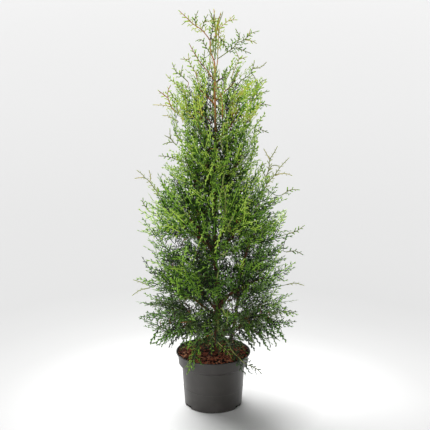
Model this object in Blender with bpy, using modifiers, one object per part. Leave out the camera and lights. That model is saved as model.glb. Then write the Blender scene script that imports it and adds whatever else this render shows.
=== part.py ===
"""Potted brabant arborvitae, a columnar evergreen conifer about 1.2 m tall in a 5 litre nursery pot.

The plant is built the way it grows. A tapering trunk rises from the soil and ends at the fork of its
two leaders, a second stem rises beside it, and boughs arch up and out from the trunk in tiers. Each
bough carries one mass of foliage, which branches from one stem by a seeded rule and bears flat toothed
sprays. Every mass keeps to its own sector of its own tier, and all of them stay inside the crown's
outline, so that no two solids touch.

Metres, +Z up. The origin is the centre of the pot's flat underside, and -Y is the front.
"""
import math
from collections import namedtuple

import bmesh
import bpy
import numpy as np
from mathutils import Matrix, Vector

# Clearance between pieces that touch on the real plant
GAP = 0.0003

# Pot: a blow-moulded nursery container with a collar and a rolled lip
POT_HEIGHT = 0.171
POT_LIP_RADIUS = 0.115
POT_LIP_DEPTH = 0.005
POT_COLLAR_RADIUS = 0.1094
POT_COLLAR_FOOT_RADIUS = 0.1068
POT_COLLAR_FOOT = 0.1340
POT_NECK_RADIUS = 0.0972
POT_NECK = 0.1285
POT_RING = 0.0580
POT_RING_STEP = 0.0005
POT_BASE_RADIUS = 0.0886
POT_WALL = 0.0018
POT_FLOOR = 0.0022
POT_STEPS = 36
NOTCH_WIDTH = 0.027
NOTCH_DEPTH = 0.017
NOTCH_HEIGHT = 0.0085
NOTCH_AZIMUTHS = (-150, -30, 90)

# Soil and the bark chips over it
SOIL_TOP = 0.150
MULCH_TOP = 0.1640
MULCH_CHIPS = 8
CHIP_SIZE = (0.017, 0.008, 0.0035)
CHIP_TILT = 0.3

# Trunk: places up the main stem as (height, x, y), and its thickness
TRUNK_PLACES = (
    (SOIL_TOP + GAP, 0.0120, 0.000),
    (0.168, 0.0120, 0.000),
    (0.200, 0.0125, -0.001),
    (0.300, 0.0160, -0.003),
    (0.345, 0.0165, -0.003),
    (0.430, 0.0085, -0.001),
    (0.500, 0.0055, 0.001),
    (0.640, 0.0060, 0.002),
    (0.790, 0.0070, 0.000),
    (0.910, 0.0060, -0.002),
    (1.006, 0.0040, 0.000),
    (1.062, 0.0025, 0.001),
    (1.085, -0.0065, 0.001),
    (1.120, -0.0090, 0.000),
)
TRUNK_RADIUS = 0.0082
TRUNK_TIP_RADIUS = 0.0016
TRUNK_FLARE = 0.0045
TRUNK_FLARE_HEIGHT = 0.014

# Second stem, which rises out of the mulch on the right and ends where its foliage starts
STEM_PLACES = (
    (SOIL_TOP + GAP, 0.0480, -0.004),
    (0.182, 0.0500, -0.004),
    (0.266, 0.0650, -0.005),
    (0.330, 0.0735, -0.004),
    (0.400, 0.0810, -0.003),
    (0.470, 0.0960, -0.002),
    (0.530, 0.1120, -0.001),
)
STEM_RADIUS = 0.0052
STEM_TIP_RADIUS = 0.0034
SECOND_STEM_MASS = "foliage_middle_1"

# Right leader, from the trunk to its own fork
LEADER_PLACES = (
    (1.016, 0.0040, 0.000),
    (1.040, 0.0095, -0.001),
    (1.066, 0.0132, -0.001),
)
LEADER_RADIUS = 0.0017
LEADER_TIP_RADIUS = 0.0014

# Boughs, whose feet are staggered up the trunk
BOUGH_STAGGER = 0.044
BOUGH_REACH = 0.36
BOUGH_RADIUS = 0.0044
BOUGH_TIP_RADIUS = 0.0034

# The crown: vertical centre line, outline as (height, reach to the left, reach to the right)
AXIS_X = 0.006
CROWN_OUTLINE = (
    (0.120, 0.150, 0.165),
    (0.175, 0.204, 0.212),
    (0.225, 0.220, 0.246),
    (0.330, 0.260, 0.270),
    (0.400, 0.238, 0.254),
    (0.500, 0.238, 0.274),
    (0.600, 0.230, 0.244),
    (0.690, 0.196, 0.200),
    (0.770, 0.143, 0.140),
    (0.860, 0.124, 0.142),
    (0.940, 0.140, 0.152),
    (0.990, 0.148, 0.150),
    (1.040, 0.100, 0.120),
    (1.100, 0.072, 0.090),
    (1.150, 0.050, 0.066),
    (1.196, 0.030, 0.040),
    (1.207, 0.000, 0.000),
)
# Branches arch: a tier's surface rises by this much, over about this run from the trunk
ARCH_RISE = 0.140
ARCH_RUN = 0.120

# Tiers: name, lowest and highest level at the trunk, masses, azimuth of the first one in degrees,
# level of the limb at the trunk, level at the stem's end, longest spray, sprays a mass, with a bough
Tier = namedtuple("Tier", "name low high count turn root_level tip_level spray sprays bough")
TIERS = (
    Tier("skirt", 0.045, 0.245, 6, 30, 0.205, 0.150, 0.165, 5, True),
    Tier("lower", 0.245, 0.430, 5, 36, 0.295, 0.330, 0.175, 6, True),
    Tier("middle", 0.430, 0.630, 6, 0, 0.485, 0.525, 0.170, 5, True),
    Tier("upper", 0.630, 0.790, 5, 36, 0.665, 0.705, 0.160, 4, False),
    Tier("high", 0.790, 0.930, 4, 45, 0.820, 0.860, 0.140, 5, False),
    Tier("top", 0.930, 1.015, 4, 0, 0.950, 0.975, 0.095, 3, False),
)
# The mass on the left of the top tier reaches higher, up to the left leader's own foliage
TOP_LEFT_HIGH = 1.060
CROWN_LEVEL_TOP = 1.300
# The foliage of the two leaders: its tier, and its stems as (x, height)
TIP_TIER = Tier("tip", TOP_LEFT_HIGH, CROWN_LEVEL_TOP, 2, 0, 1.100, 1.150, 0.060, 4, True)
LEFT_TIP_STEM = ((-0.0085, 1.133), (-0.0020, 1.152), (0.0005, 1.175))
RIGHT_TIP_STEM = ((0.0145, 1.077), (0.0140, 1.100), (0.0170, 1.140))

# The camera of the photo: its place, how many degrees it looks down, its focal length and the photo's width in
# the photo's pixels
CAMERA_PLACE = (0.0053, -3.0, 1.353)
CAMERA_PITCH = 14.03
CAMERA_FOCAL_PIXELS = 1032
IMAGE_PIXELS = 430

# Long shoots that stand out of the crown, as the pixels (column, row) read by eye in the photo from their root to
# their tip. They lie in the plane y = 0, and a root goes to the nearest place on its stem
SHOOTS = {
    "foliage_middle_1": (
        ((250.0, 240.0), (258.0, 215.0), (261.2, 197.5), (266.6, 185.4), (276.3, 175.7), (288.4, 159.4)),
        ((266.6, 185.4), (269.0, 160.0), (276.3, 147.9)),
        ((276.3, 175.7), (290.9, 174.5)),
    ),
    "foliage_middle_4": (
        ((177.0, 213.0), (161.0, 191.5), (149.9, 182.0), (136.1, 178.2)),
        ((161.0, 191.5), (149.6, 170.8)),
    ),
    "foliage_top_1": (
        ((221.0, 79.0), (240.0, 80.0), (252.0, 73.0), (267.0, 63.0)),
        ((240.0, 80.0), (254.0, 61.0)),
    ),
    "foliage_top_3": (
        ((207.4, 70.8), (195.9, 55.5), (189.7, 44.0)),
    ),
    "foliage_tip_left": (
        ((210.1, 39.6), (200.5, 27.5), (191.0, 20.0), (179.5, 10.3)),
        ((200.5, 27.5), (198.0, 11.5)),
        ((191.0, 20.0), (184.0, 24.0)),
    ),
    "foliage_tip_right": (
        ((217.6, 59.7), (230.2, 50.5), (237.0, 42.5), (246.3, 40.2), (258.9, 31.6)),
        ((237.0, 42.5), (236.0, 29.8)),
        ((246.3, 40.2), (250.9, 28.7)),
        ((218.7, 32.1), (224.0, 24.0), (231.9, 14.9)),
    ),
}
SHOOT_SPRAY = 0.048

# Growth of a mass: its stem runs straight on from its limb, then out to a share of the crown's reach
STEM_STRAIGHT = 0.012
STEM_REACH = 0.64
STEM_ROOT_RADIUS = 0.0030
STEM_END_RADIUS = 0.0026
TWIG_RADIUS = 0.0028
TWIG_END_RADIUS = 0.0022
TWIG_SHARES = (0.20, 0.90)
TWIG_LONGEST = 0.080
TWIG_SHORTEST = 0.014
SIDE_SPRAY_PLACE = 0.45
SIDE_SPRAY_SIZE = 0.9
SIDE_SPRAY_WIDEST = 1.2
UPWARD = 0.2
ROLL_WIDEST = 1.3
TRIES = 30
ROLLS = 6
ROOM_STEP = 0.004
MARGIN = 0.0025
LIMB_MARGIN = 0.0020
OPEN_ENOUGH = 0.10
LENGTH_WEIGHT = 0.30
OVER_POT = 0.004
BESIDE_POT = 0.014
SEED = 1206

# A spray's outline, for a spray one unit long
SPRAY_THICKNESS = 0.0110
SPRAY_SHORTEST = 0.45
TOOTH_ANGLE = math.radians(44)
TOOTH_LENGTH = 0.52
TOOTH_FIRST = 0.14
TOOTH_LAST = 0.84
STALK_HALF_WIDTH = 0.0075
WEB_HALF_WIDTH = 0.034

Mass = namedtuple("Mass", "name azimuth half_angle low high tier seed")


# The scene, its collections and its materials

def clear_scene():
    """Remove every object that the file holds."""
    for item in list(bpy.data.objects):
        bpy.data.objects.remove(item, do_unlink=True)


def new_collection(name):
    """Return a new collection, linked to the scene."""
    collection = bpy.data.collections.new(name)
    bpy.context.scene.collection.children.link(collection)
    return collection


def material(name, colour, roughness, metallic=0.0):
    """Return a Principled material with a linear base colour."""
    made = bpy.data.materials.new(name)
    made.use_nodes = True
    shader = made.node_tree.nodes["Principled BSDF"]
    shader.inputs["Base Color"].default_value = (*colour, 1.0)
    shader.inputs["Roughness"].default_value = roughness
    shader.inputs["Metallic"].default_value = metallic
    return made


def add_object(name, mesh, collection, finish):
    """Link a mesh to a collection under a name, with its material."""
    made = bpy.data.objects.new(name, mesh)
    mesh.name = name
    mesh.materials.clear()
    if finish:
        mesh.materials.append(finish)
    collection.objects.link(made)
    return made


def hide_cutter(cutter):
    """Mark an object as one that only shapes others."""
    cutter.hide_render = True
    cutter.display_type = "WIRE"


# Modelling helpers

def evaluated_mesh(source, weld=True):
    """Return the mesh of an object with its modifiers, welded and with its faces turned outwards."""
    bpy.context.view_layer.update()
    mesh = bpy.data.meshes.new_from_object(source.evaluated_get(bpy.context.evaluated_depsgraph_get()))
    mesh.transform(source.matrix_world)
    work = bmesh.new()
    work.from_mesh(mesh)
    if weld:
        bmesh.ops.remove_doubles(work, verts=work.verts, dist=0.000005)
        bmesh.ops.recalc_face_normals(work, faces=work.faces)
    work.to_mesh(mesh)
    work.free()
    return mesh


def ring_profile(sides):
    """Return the closed outline of one unit radius that a tube with so many sides is swept from."""
    name = "ring_%d" % sides
    if name in bpy.data.objects:
        return bpy.data.objects[name]
    curve = bpy.data.curves.new(name, "CURVE")
    curve.dimensions = "2D"
    spline = curve.splines.new("POLY")
    spline.points.add(sides - 1)
    for index, knot in enumerate(spline.points):
        turn = 2 * math.pi * index / sides
        knot.co = (math.cos(turn), math.sin(turn), 0, 1)
    spline.use_cyclic_u = True
    ring = bpy.data.objects.new(name, curve)
    cutters.objects.link(ring)
    hide_cutter(ring)
    return ring


def tube_mesh(points, radii, sides):
    """Return a tapering tube with closed ends, swept along its points."""
    curve = bpy.data.curves.new("tube", "CURVE")
    curve.dimensions = "3D"
    curve.bevel_mode = "OBJECT"
    curve.bevel_object = ring_profile(sides)
    curve.use_fill_caps = True
    spline = curve.splines.new("POLY")
    spline.points.add(len(points) - 1)
    for knot, point, radius in zip(spline.points, points, radii):
        knot.co = (*point, 1.0)
        knot.radius = radius
    path = bpy.data.objects.new("tube", curve)
    plant.objects.link(path)
    mesh = evaluated_mesh(path)
    bpy.data.objects.remove(path)
    bpy.data.curves.remove(curve)
    return mesh


def turned_mesh(profile):
    """Return the solid that a profile of (radius, height) sweeps round the vertical axis."""
    mesh = bpy.data.meshes.new("profile")
    edges = [(index, index + 1) for index in range(len(profile) - 1)]
    mesh.from_pydata([(radius, 0, height) for radius, height in profile], edges, [])
    line = bpy.data.objects.new("profile", mesh)
    plant.objects.link(line)
    screw = line.modifiers.new("turn", "SCREW")
    screw.steps = POT_STEPS
    screw.render_steps = POT_STEPS
    screw.use_merge_vertices = True
    screw.merge_threshold = 0.00005
    turned = evaluated_mesh(line)
    bpy.data.objects.remove(line)
    return turned


def boolean(target, operation, operand, solver="EXACT"):
    """Put a Boolean modifier on an object, with another object or a collection as its operand."""
    cut = target.modifiers.new(operation.lower(), "BOOLEAN")
    cut.operation = operation
    cut.solver = solver
    if isinstance(operand, bpy.types.Collection):
        cut.operand_type = "COLLECTION"
        cut.collection = operand
    else:
        cut.object = operand


def is_closed(mesh):
    """Say whether every edge of a mesh joins exactly two faces."""
    work = bmesh.new()
    work.from_mesh(mesh)
    closed = all(len(edge.link_faces) == 2 for edge in work.edges)
    work.free()
    return closed


def keep_largest_body(mesh):
    """Drop loose scraps and the skins of sealed hollows, so that one body is left."""
    work = bmesh.new()
    work.from_mesh(mesh)
    unseen = set(work.verts)
    bodies = []
    while unseen:
        queue = [unseen.pop()]
        body = set(queue)
        while queue:
            for edge in queue.pop().link_edges:
                for vert in edge.verts:
                    if vert in unseen:
                        unseen.remove(vert)
                        body.add(vert)
                        queue.append(vert)
        bodies.append(body)
    bodies.sort(key=len)
    for body in bodies[:-1]:
        bmesh.ops.delete(work, geom=list(body), context="VERTS")
    bmesh.ops.triangulate(work, faces=work.faces)
    work.to_mesh(mesh)
    work.free()


def apply_modifiers(target, weld=True):
    """Replace an object's mesh by its evaluated one and take its modifiers off."""
    finish = target.data.materials[0]
    mesh = evaluated_mesh(target, weld=weld)
    target.modifiers.clear()
    target.data = mesh
    keep_largest_body(mesh)
    mesh.name = target.name
    mesh.materials.clear()
    mesh.materials.append(finish)


# Pot, soil and mulch

def pot_outer_profile():
    """Return the outside of the pot from its lip down to its underside, as (radius, height)."""
    ring_radius = POT_BASE_RADIUS + (POT_NECK_RADIUS - POT_BASE_RADIUS) * POT_RING / POT_NECK
    return [
        (POT_LIP_RADIUS - 0.0008, POT_HEIGHT),
        (POT_LIP_RADIUS, POT_HEIGHT - 0.0008),
        (POT_LIP_RADIUS, POT_HEIGHT - POT_LIP_DEPTH),
        (POT_COLLAR_RADIUS, POT_HEIGHT - POT_LIP_DEPTH - 0.0008),
        (POT_COLLAR_FOOT_RADIUS, POT_COLLAR_FOOT),
        (POT_NECK_RADIUS, POT_NECK),
        (ring_radius + POT_RING_STEP, POT_RING + POT_RING_STEP),
        (ring_radius, POT_RING),
        (POT_BASE_RADIUS, 0.0),
    ]


def pot_inner_profile():
    """Return the inside of the pot from its floor up to its lip, as (radius, height)."""
    return [
        (POT_BASE_RADIUS - POT_WALL, POT_FLOOR),
        (POT_NECK_RADIUS - POT_WALL, POT_NECK + 0.0010),
        (POT_COLLAR_FOOT_RADIUS - POT_WALL, POT_COLLAR_FOOT + 0.0014),
        (POT_COLLAR_RADIUS - POT_WALL + 0.0004, POT_HEIGHT - 0.0050),
        (POT_LIP_RADIUS - 0.0032, POT_HEIGHT),
    ]


def inner_radius(height):
    """Return the pot's inside radius at a height."""
    radii, heights = zip(*pot_inner_profile())
    return float(np.interp(height, heights, radii))


def build_pot():
    """Turn the pot's shell and cut the drain notches through the foot of its wall."""
    profile = [(0.0, POT_FLOOR)] + pot_inner_profile() + pot_outer_profile() + [(0.0, 0.0)]
    pot = add_object("pot", turned_mesh(profile), plant, pot_plastic)
    for number, azimuth in enumerate(NOTCH_AZIMUTHS):
        bpy.ops.mesh.primitive_cube_add(size=1)
        notch = bpy.context.object
        notch.name = "notch_cutter_%d" % (number + 1)
        for owner in list(notch.users_collection):
            owner.objects.unlink(notch)
        cutters.objects.link(notch)
        notch.scale = (2 * NOTCH_DEPTH, NOTCH_WIDTH, 2 * NOTCH_HEIGHT)
        notch.rotation_euler.z = math.radians(azimuth)
        turn = Vector((math.cos(math.radians(azimuth)), math.sin(math.radians(azimuth)), 0))
        notch.location = POT_BASE_RADIUS * turn
        hide_cutter(notch)
        boolean(pot, "DIFFERENCE", notch)
    apply_modifiers(pot)


def build_soil():
    """Turn the potting soil that fills the pot up to the mulch."""
    shy = GAP * 1.2
    low = POT_FLOOR + GAP
    step = 0.012
    profile = [
        (0.0, SOIL_TOP),
        (inner_radius(SOIL_TOP) - shy, SOIL_TOP),
        (POT_COLLAR_FOOT_RADIUS - POT_WALL - shy, POT_COLLAR_FOOT + 0.0014),
        (POT_NECK_RADIUS - POT_WALL - shy, POT_NECK + 0.0010),
        (inner_radius(step) - shy, step),
        (inner_radius(low) - 0.009, low),
        (0.0, low),
    ]
    add_object("soil", turned_mesh(profile), plant, soil_dark)


def build_mulch(foot_cutters):
    """Turn the layer of mulch, lay bark chips on it and cut it clear of both stems."""
    low = SOIL_TOP + GAP
    shy = GAP * 1.2
    profile = [
        (0.0, MULCH_TOP),
        (0.55 * inner_radius(MULCH_TOP), MULCH_TOP + 0.0012),
        (0.90 * inner_radius(MULCH_TOP), MULCH_TOP),
        (inner_radius(MULCH_TOP - 0.003) - shy, MULCH_TOP - 0.003),
        (inner_radius(low) - shy, low),
        (0.0, low),
    ]
    mulch = add_object("bark_mulch", turned_mesh(profile), plant, bark_chips)
    chips = new_collection("mulch_chips")
    rng = np.random.default_rng(SEED)
    reach = 0.86 * inner_radius(MULCH_TOP)
    for number in range(MULCH_CHIPS):
        radius = reach * math.sqrt((number + 0.5) / MULCH_CHIPS)
        azimuth = number * math.pi * (3 - math.sqrt(5))
        spot = Vector((radius * math.cos(azimuth), radius * math.sin(azimuth), MULCH_TOP + CHIP_SIZE[2] / 3))
        place = Matrix.Translation(spot)
        turn = Matrix.Rotation(rng.uniform(0, math.pi), 4, "Z")
        tilt = Matrix.Rotation(rng.uniform(-CHIP_TILT, CHIP_TILT), 4, "X")
        tilt = tilt @ Matrix.Rotation(rng.uniform(-CHIP_TILT, CHIP_TILT), 4, "Y")
        work = bmesh.new()
        bmesh.ops.create_cube(work, size=1)
        mesh = bpy.data.meshes.new("chip")
        work.to_mesh(mesh)
        work.free()
        mesh.transform(place @ turn @ tilt @ Matrix.Diagonal((*CHIP_SIZE, 1)))
        chips.objects.link(bpy.data.objects.new("chip", mesh))
    boolean(mulch, "UNION", chips)
    for cutter in foot_cutters:
        boolean(mulch, "DIFFERENCE", cutter)
    apply_modifiers(mulch)
    remove_collection(chips)


def remove_collection(collection):
    """Remove a collection with its objects."""
    for item in list(collection.objects):
        bpy.data.objects.remove(item)
    bpy.data.collections.remove(collection)


# Limbs

def limb_points(places):
    """Return points from a limb's places, which are written as (height, x, y)."""
    return [Vector((x, y, height)) for height, x, y in places]


def tapered(points, foot, tip):
    """Return radii that shrink evenly from foot to tip along the points."""
    lengths = [0.0]
    for before, after in zip(points, points[1:]):
        lengths.append(lengths[-1] + (after - before).length)
    return [foot + (tip - foot) * length / lengths[-1] for length in lengths]


def trunk_radii(points):
    """Return the trunk's radii: an even taper plus a flare that dies out above the soil."""
    radii = tapered(points, TRUNK_RADIUS, TRUNK_TIP_RADIUS)
    foot = points[0].z
    return [radius + TRUNK_FLARE * math.exp((foot - point.z) / TRUNK_FLARE_HEIGHT)
            for radius, point in zip(radii, points)]


def note_limb(points, radii):
    """Keep a limb's stretches, so that foliage can be kept clear of them."""
    for start, end, radius, end_radius in zip(points, points[1:], radii, radii[1:]):
        limbs.append((np.array(start), np.array(end), max(radius, end_radius)))


def build_limb(name, points, radii, sides, cutter=None):
    """Sweep one tapering limb, and cut its foot clear of the limb that it grows from."""
    limb = add_object(name, tube_mesh(points, radii, sides), plant, bark)
    if cutter:
        boolean(limb, "DIFFERENCE", cutter)
        apply_modifiers(limb)
    note_limb(points, radii)
    return limb


def limb_cutter(name, points, radii, sides):
    """Return a limb grown fatter by the gap, which cuts what meets it."""
    down = points[0] - Vector((0, 0, 0.004))
    wider = [radius + GAP for radius in radii[:1] + radii]
    cutter = add_object(name, tube_mesh([down] + points, wider, sides), cutters, None)
    hide_cutter(cutter)
    return cutter


# The crown's space

def arch(radius):
    """Return how far a tier has risen at a distance from the trunk."""
    return ARCH_RISE * (1 - np.exp(-radius / ARCH_RUN))


def crown_reach(azimuth, height):
    """Return the crown's reach: the left and right outlines blended by the cosine of the azimuth."""
    heights, left, right = zip(*CROWN_OUTLINE)
    left = np.interp(height, heights, left)
    right = np.interp(height, heights, right)
    return (left + right) / 2 + (right - left) / 2 * np.cos(azimuth)


def crown_point(azimuth, radius, level):
    """Return the point at an azimuth and a distance from the centre line, on a tier's level."""
    height = level + float(arch(radius))
    return Vector((AXIS_X + radius * math.cos(azimuth), radius * math.sin(azimuth), height))


def in_space(mass, points, margin, free=False):
    """Say which points lie in the mass's own space. A free point may also lie beyond the crown."""
    x = points[:, 0] - AXIS_X
    y = points[:, 1]
    height = points[:, 2]
    radius = np.hypot(x, y)
    azimuth = np.arctan2(y, x)
    turn = np.abs((azimuth - mass.azimuth + math.pi) % (2 * math.pi) - math.pi)
    side_room = radius * np.sin(np.clip(mass.half_angle - turn, -math.pi / 2, math.pi / 2))
    level = height - arch(radius)
    in_tier = (level > mass.low + margin) & (level < mass.high - margin)
    reach = crown_reach(azimuth, height)
    in_crown = radius < reach
    if free:
        in_tier = in_tier | (radius > reach + 2 * margin)
        in_crown = True
    over_pot = (height > POT_HEIGHT + OVER_POT) | (radius > POT_LIP_RADIUS + BESIDE_POT)
    return (side_room > margin) & in_tier & in_crown & over_pot


def clear_of_limbs(points, margin):
    """Say whether every point stays clear of the trunk, the stems and the boughs."""
    for start, end, radius in limbs:
        along = end - start
        share = np.clip((points - start) @ along / (along @ along), 0, 1)
        away = np.linalg.norm(points - (start + share[:, None] * along), axis=1)
        if away.min() < radius + margin:
            return False
    return True


# Sprays

def spray_outline(teeth):
    """Return the outline of a spray one unit long: alternate pointed teeth that lean forward."""
    pitch = (TOOTH_LAST - TOOTH_FIRST) / teeth
    sides = []
    for side in (1, -1):
        edge = [(0.0, side * STALK_HALF_WIDTH),
                (TOOTH_FIRST + (0.0 if side > 0 else 0.35 * pitch), side * STALK_HALF_WIDTH * 1.4)]
        for number in range(teeth):
            root = TOOTH_FIRST + pitch * (number + (0.0 if side > 0 else 0.45))
            share = (root - TOOTH_FIRST) / (1 - TOOTH_FIRST)
            length = TOOTH_LENGTH * (1 - share) ** 0.8 * (0.72 + 0.28 * math.sin(math.pi * share))
            web = WEB_HALF_WIDTH * (1 - 0.5 * share)
            edge.append((root + length * math.cos(TOOTH_ANGLE) + pitch * 0.25,
                         side * (web + length * math.sin(TOOTH_ANGLE))))
            edge.append((root + pitch, side * web))
        sides.append(edge)
    return sides[0] + [(1.0, 0.0)] + sides[1][::-1]


def spray_mesh(teeth):
    """Return the flat spray one unit long, extruded from its filled outline."""
    outline = spray_outline(teeth)
    curve = bpy.data.curves.new("spray", "CURVE")
    curve.dimensions = "2D"
    curve.fill_mode = "BOTH"
    curve.extrude = SPRAY_THICKNESS / 2
    spline = curve.splines.new("POLY")
    spline.points.add(len(outline) - 1)
    for knot, (along, across) in zip(spline.points, outline):
        knot.co = (along, across, 0, 1)
    spline.use_cyclic_u = True
    flat = bpy.data.objects.new("spray", curve)
    plant.objects.link(flat)
    mesh = evaluated_mesh(flat)
    bpy.data.objects.remove(flat)
    bpy.data.curves.remove(curve)
    return mesh


def spray_samples(teeth):
    """Return points along the spray's edge past its stalk, where its room is tested."""
    outline = [np.array(point) for point in spray_outline(teeth)]
    samples = []
    for before, after in zip(outline, outline[1:]):
        for share in (0.0, 0.5):
            along, across = before + share * (after - before)
            if along > 0.10:
                samples.append((along, across, SPRAY_THICKNESS / 2))
                samples.append((along, across, -SPRAY_THICKNESS / 2))
    return np.array(samples)


def spray_ribs(teeth):
    """Return the lines from root to tip that a spray is built on: its axis and one in each tooth."""
    outline = spray_outline(teeth)
    half = len(outline) // 2
    ribs = [((0.12, 0.0, 0.0), (1.0, 0.0, 0.0))]
    for edge in (outline[:half], outline[:half:-1]):
        for number in range(teeth):
            tip, notch = edge[2 + 2 * number], edge[3 + 2 * number]
            ribs.append(((notch[0] - 0.10, 0.0, 0.0), (*tip, 0.0)))
    return np.array(ribs)


def ribs_cross(pose, teeth, other):
    """Say whether a spray's ribs pass through the outline of another spray."""
    inverse = other.inverted()
    ribs = placed(inverse @ pose, RIBS[teeth].reshape(-1, 3)).reshape(-1, 2, 3)
    start, end = ribs[:, 0], ribs[:, 1]
    slack = SPRAY_THICKNESS
    through = (np.minimum(start[:, 2], end[:, 2]) < slack) & (np.maximum(start[:, 2], end[:, 2]) > -slack)
    rise = end[:, 2] - start[:, 2]
    rise = np.where(np.abs(rise) < 1e-9, 1e-9, rise)
    share = np.clip(-start[:, 2] / rise, 0, 1)
    meet = start + share[:, None] * (end - start)
    along, across = meet[:, 0], np.abs(meet[:, 1])
    width = np.where(along < 0.2, 0.06 + along, 0.34 - 0.3 * along)
    within = (along > 0.03) & (along < 1.02) & (across < width)
    return bool((through & within).any())


def crosses_any(pose, teeth, sprays):
    """Say whether a spray and any of the others pass through each other."""
    return any(ribs_cross(pose, teeth, other) or ribs_cross(other, other_teeth, pose)
               for other, other_teeth in sprays)


def spray_pose(root, direction, length, roll):
    """Return the matrix that puts a spray at its root, along a direction, rolled about it."""
    across = direction.cross(Vector((0, 0, 1)))
    if across.length < 0.05:
        across = Vector((1, 0, 0)).cross(direction)
    across.normalize()
    normal = direction.cross(across)
    across = across * math.cos(roll) + normal * math.sin(roll)
    normal = direction.cross(across)
    turn = Matrix((direction, across, normal)).transposed().to_4x4()
    return Matrix.Translation(root) @ turn @ Matrix.Scale(length, 4)


def placed(pose, samples):
    """Return sample points in the world, for a pose."""
    pose = np.array(pose)
    return samples @ pose[:3, :3].T + pose[:3, 3]


# Growth of one mass

def spread(heading, rng, widest):
    """Return a direction at a random angle, no wider than given, from a heading."""
    side = heading.orthogonal().normalized()
    side = Matrix.Rotation(rng.uniform(0, 2 * math.pi), 3, heading) @ side
    return (Matrix.Rotation(rng.uniform(0.15, 1.0) * widest, 3, side) @ heading).normalized()


def room(mass, root, direction, longest):
    """Return how far a straight line from a root can run inside the mass's space."""
    steps = np.arange(0.0, longest + ROOM_STEP, ROOM_STEP)
    points = np.array(root) + steps[:, None] * np.array(direction)
    outside = ~in_space(mass, points, MARGIN)
    free = steps[max(0, int(np.argmax(outside)) - 1)] if outside.any() else longest
    return float(min(free, longest))


def fit_spray(mass, root, direction, longest, sprays, rng):
    """Return a spray from a root, as long as there is room for, in the first roll that fits."""
    length = room(mass, root, direction, longest)
    if length < longest * SPRAY_SHORTEST:
        return None
    teeth = 3 if longest > 0.10 else 2
    for _ in range(ROLLS):
        pose = spray_pose(root, direction, length, rng.uniform(-ROLL_WIDEST, ROLL_WIDEST))
        points = placed(pose, SAMPLES[teeth])
        if (in_space(mass, points, MARGIN).all() and clear_of_limbs(points, LIMB_MARGIN)
                and not crosses_any(pose, teeth, sprays)):
            return pose, teeth
    return None


def middle_of(pose):
    """Return the middle of a spray."""
    return np.array(pose @ Vector((0.55, 0, 0)))


def openness(pose, taken):
    """Return how good a place is: far from the other sprays, with a long spray in it."""
    away = [float(np.linalg.norm(middle_of(pose) - other)) for other in taken]
    return min([OPEN_ENOUGH] + away) + LENGTH_WEIGHT * pose.median_scale


def side_spray(mass, root, heading, longest, sprays, taken, rng):
    """Return the best of some sprays that leave a twig or stem sideways from a root."""
    best = None
    for _ in range(TRIES):
        direction = (spread(heading, rng, SIDE_SPRAY_WIDEST) + Vector((0, 0, UPWARD))).normalized()
        found = fit_spray(mass, root, direction, longest, sprays, rng)
        if found and (best is None or openness(found[0], taken) > openness(best[0], taken)):
            best = found
    return best


def twig_fits(mass, points):
    """Say whether a twig stays in the mass's space and clear of the limbs."""
    line = []
    for start, end in zip(points, points[1:]):
        for share in (0.35, 0.7, 1.0):
            line.append(np.array(start.lerp(end, share)))
    line = np.array(line)
    return bool(in_space(mass, line, MARGIN + TWIG_RADIUS).all()) and clear_of_limbs(line, LIMB_MARGIN * 2)


def random_target(mass, rng):
    """Return a random point of the mass's space, more often near the crown's outside."""
    azimuth = mass.azimuth + mass.half_angle * rng.uniform(-0.85, 0.85)
    level = rng.uniform(mass.low, min(mass.high, mass.low + 0.25))
    height = level + float(arch(0.12))
    return crown_point(azimuth, float(crown_reach(azimuth, height)) * rng.uniform(0.25, 1.0) ** 0.6, level)


def twig_and_spray(mass, stem, longest, sprays, taken, rng):
    """Return the best of some twigs that reach for a random target and end in a spray."""
    best = None
    for _ in range(TRIES):
        target = random_target(mass, rng)
        foot, heading = along_path(stem, rng.uniform(*TWIG_SHARES))
        gap = target - foot
        direction = gap.normalized()
        if direction.dot(heading) < -0.1 or not in_space(mass, np.array([target]), MARGIN).all():
            continue
        length = min(TWIG_LONGEST, max(0.0, gap.length - 0.5 * longest))
        if length < TWIG_SHORTEST:
            twig = None
            root = foot
        else:
            middle = foot + 0.5 * length * (direction + 0.3 * heading).normalized()
            root = middle + 0.5 * length * direction
            twig = [foot, middle, root]
            if not twig_fits(mass, twig):
                continue
            root = middle.lerp(root, 0.96)
        direction = (direction + Vector((0, 0, UPWARD))).normalized()
        found = fit_spray(mass, root, direction, longest, sprays, rng)
        if found and (best is None or openness(found[0], taken) > openness(best[1][0], taken)):
            best = (twig, found)
    return best


def mass_stem(mass, bough_tip, bough_heading):
    """Return the points of a mass's stem, from the limb that carries it outwards."""
    tier = mass.tier
    first = bough_tip + STEM_STRAIGHT * bough_heading
    points = [bough_tip, first]
    first_radius = math.hypot(first.x - AXIS_X, first.y)
    first_level = first.z - float(arch(first_radius))
    end_height = tier.tip_level + float(arch(0.12))
    end_radius = STEM_REACH * float(crown_reach(mass.azimuth, end_height))
    for share in (0.33, 0.67, 1.0):
        radius = first_radius + share * (end_radius - first_radius)
        level = first_level + share * (tier.tip_level - first_level)
        points.append(crown_point(mass.azimuth, radius, level))
    return points


def along_path(points, share):
    """Return the point and heading at a share of a path's length."""
    lengths = [(after - before).length for before, after in zip(points, points[1:])]
    left = share * sum(lengths)
    for before, after, length in zip(points, points[1:], lengths):
        if left <= length or after is points[-1]:
            return before.lerp(after, min(left / length, 1.0)), (after - before).normalized()
        left -= length


def nearest_on_stem(stem, point):
    """Return the point of a stem nearest to another, past the stem's foot."""
    places = [along_path(stem, share / 20)[0] for share in range(3, 20)]
    return min(places, key=lambda place: (place - point).length)


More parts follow.
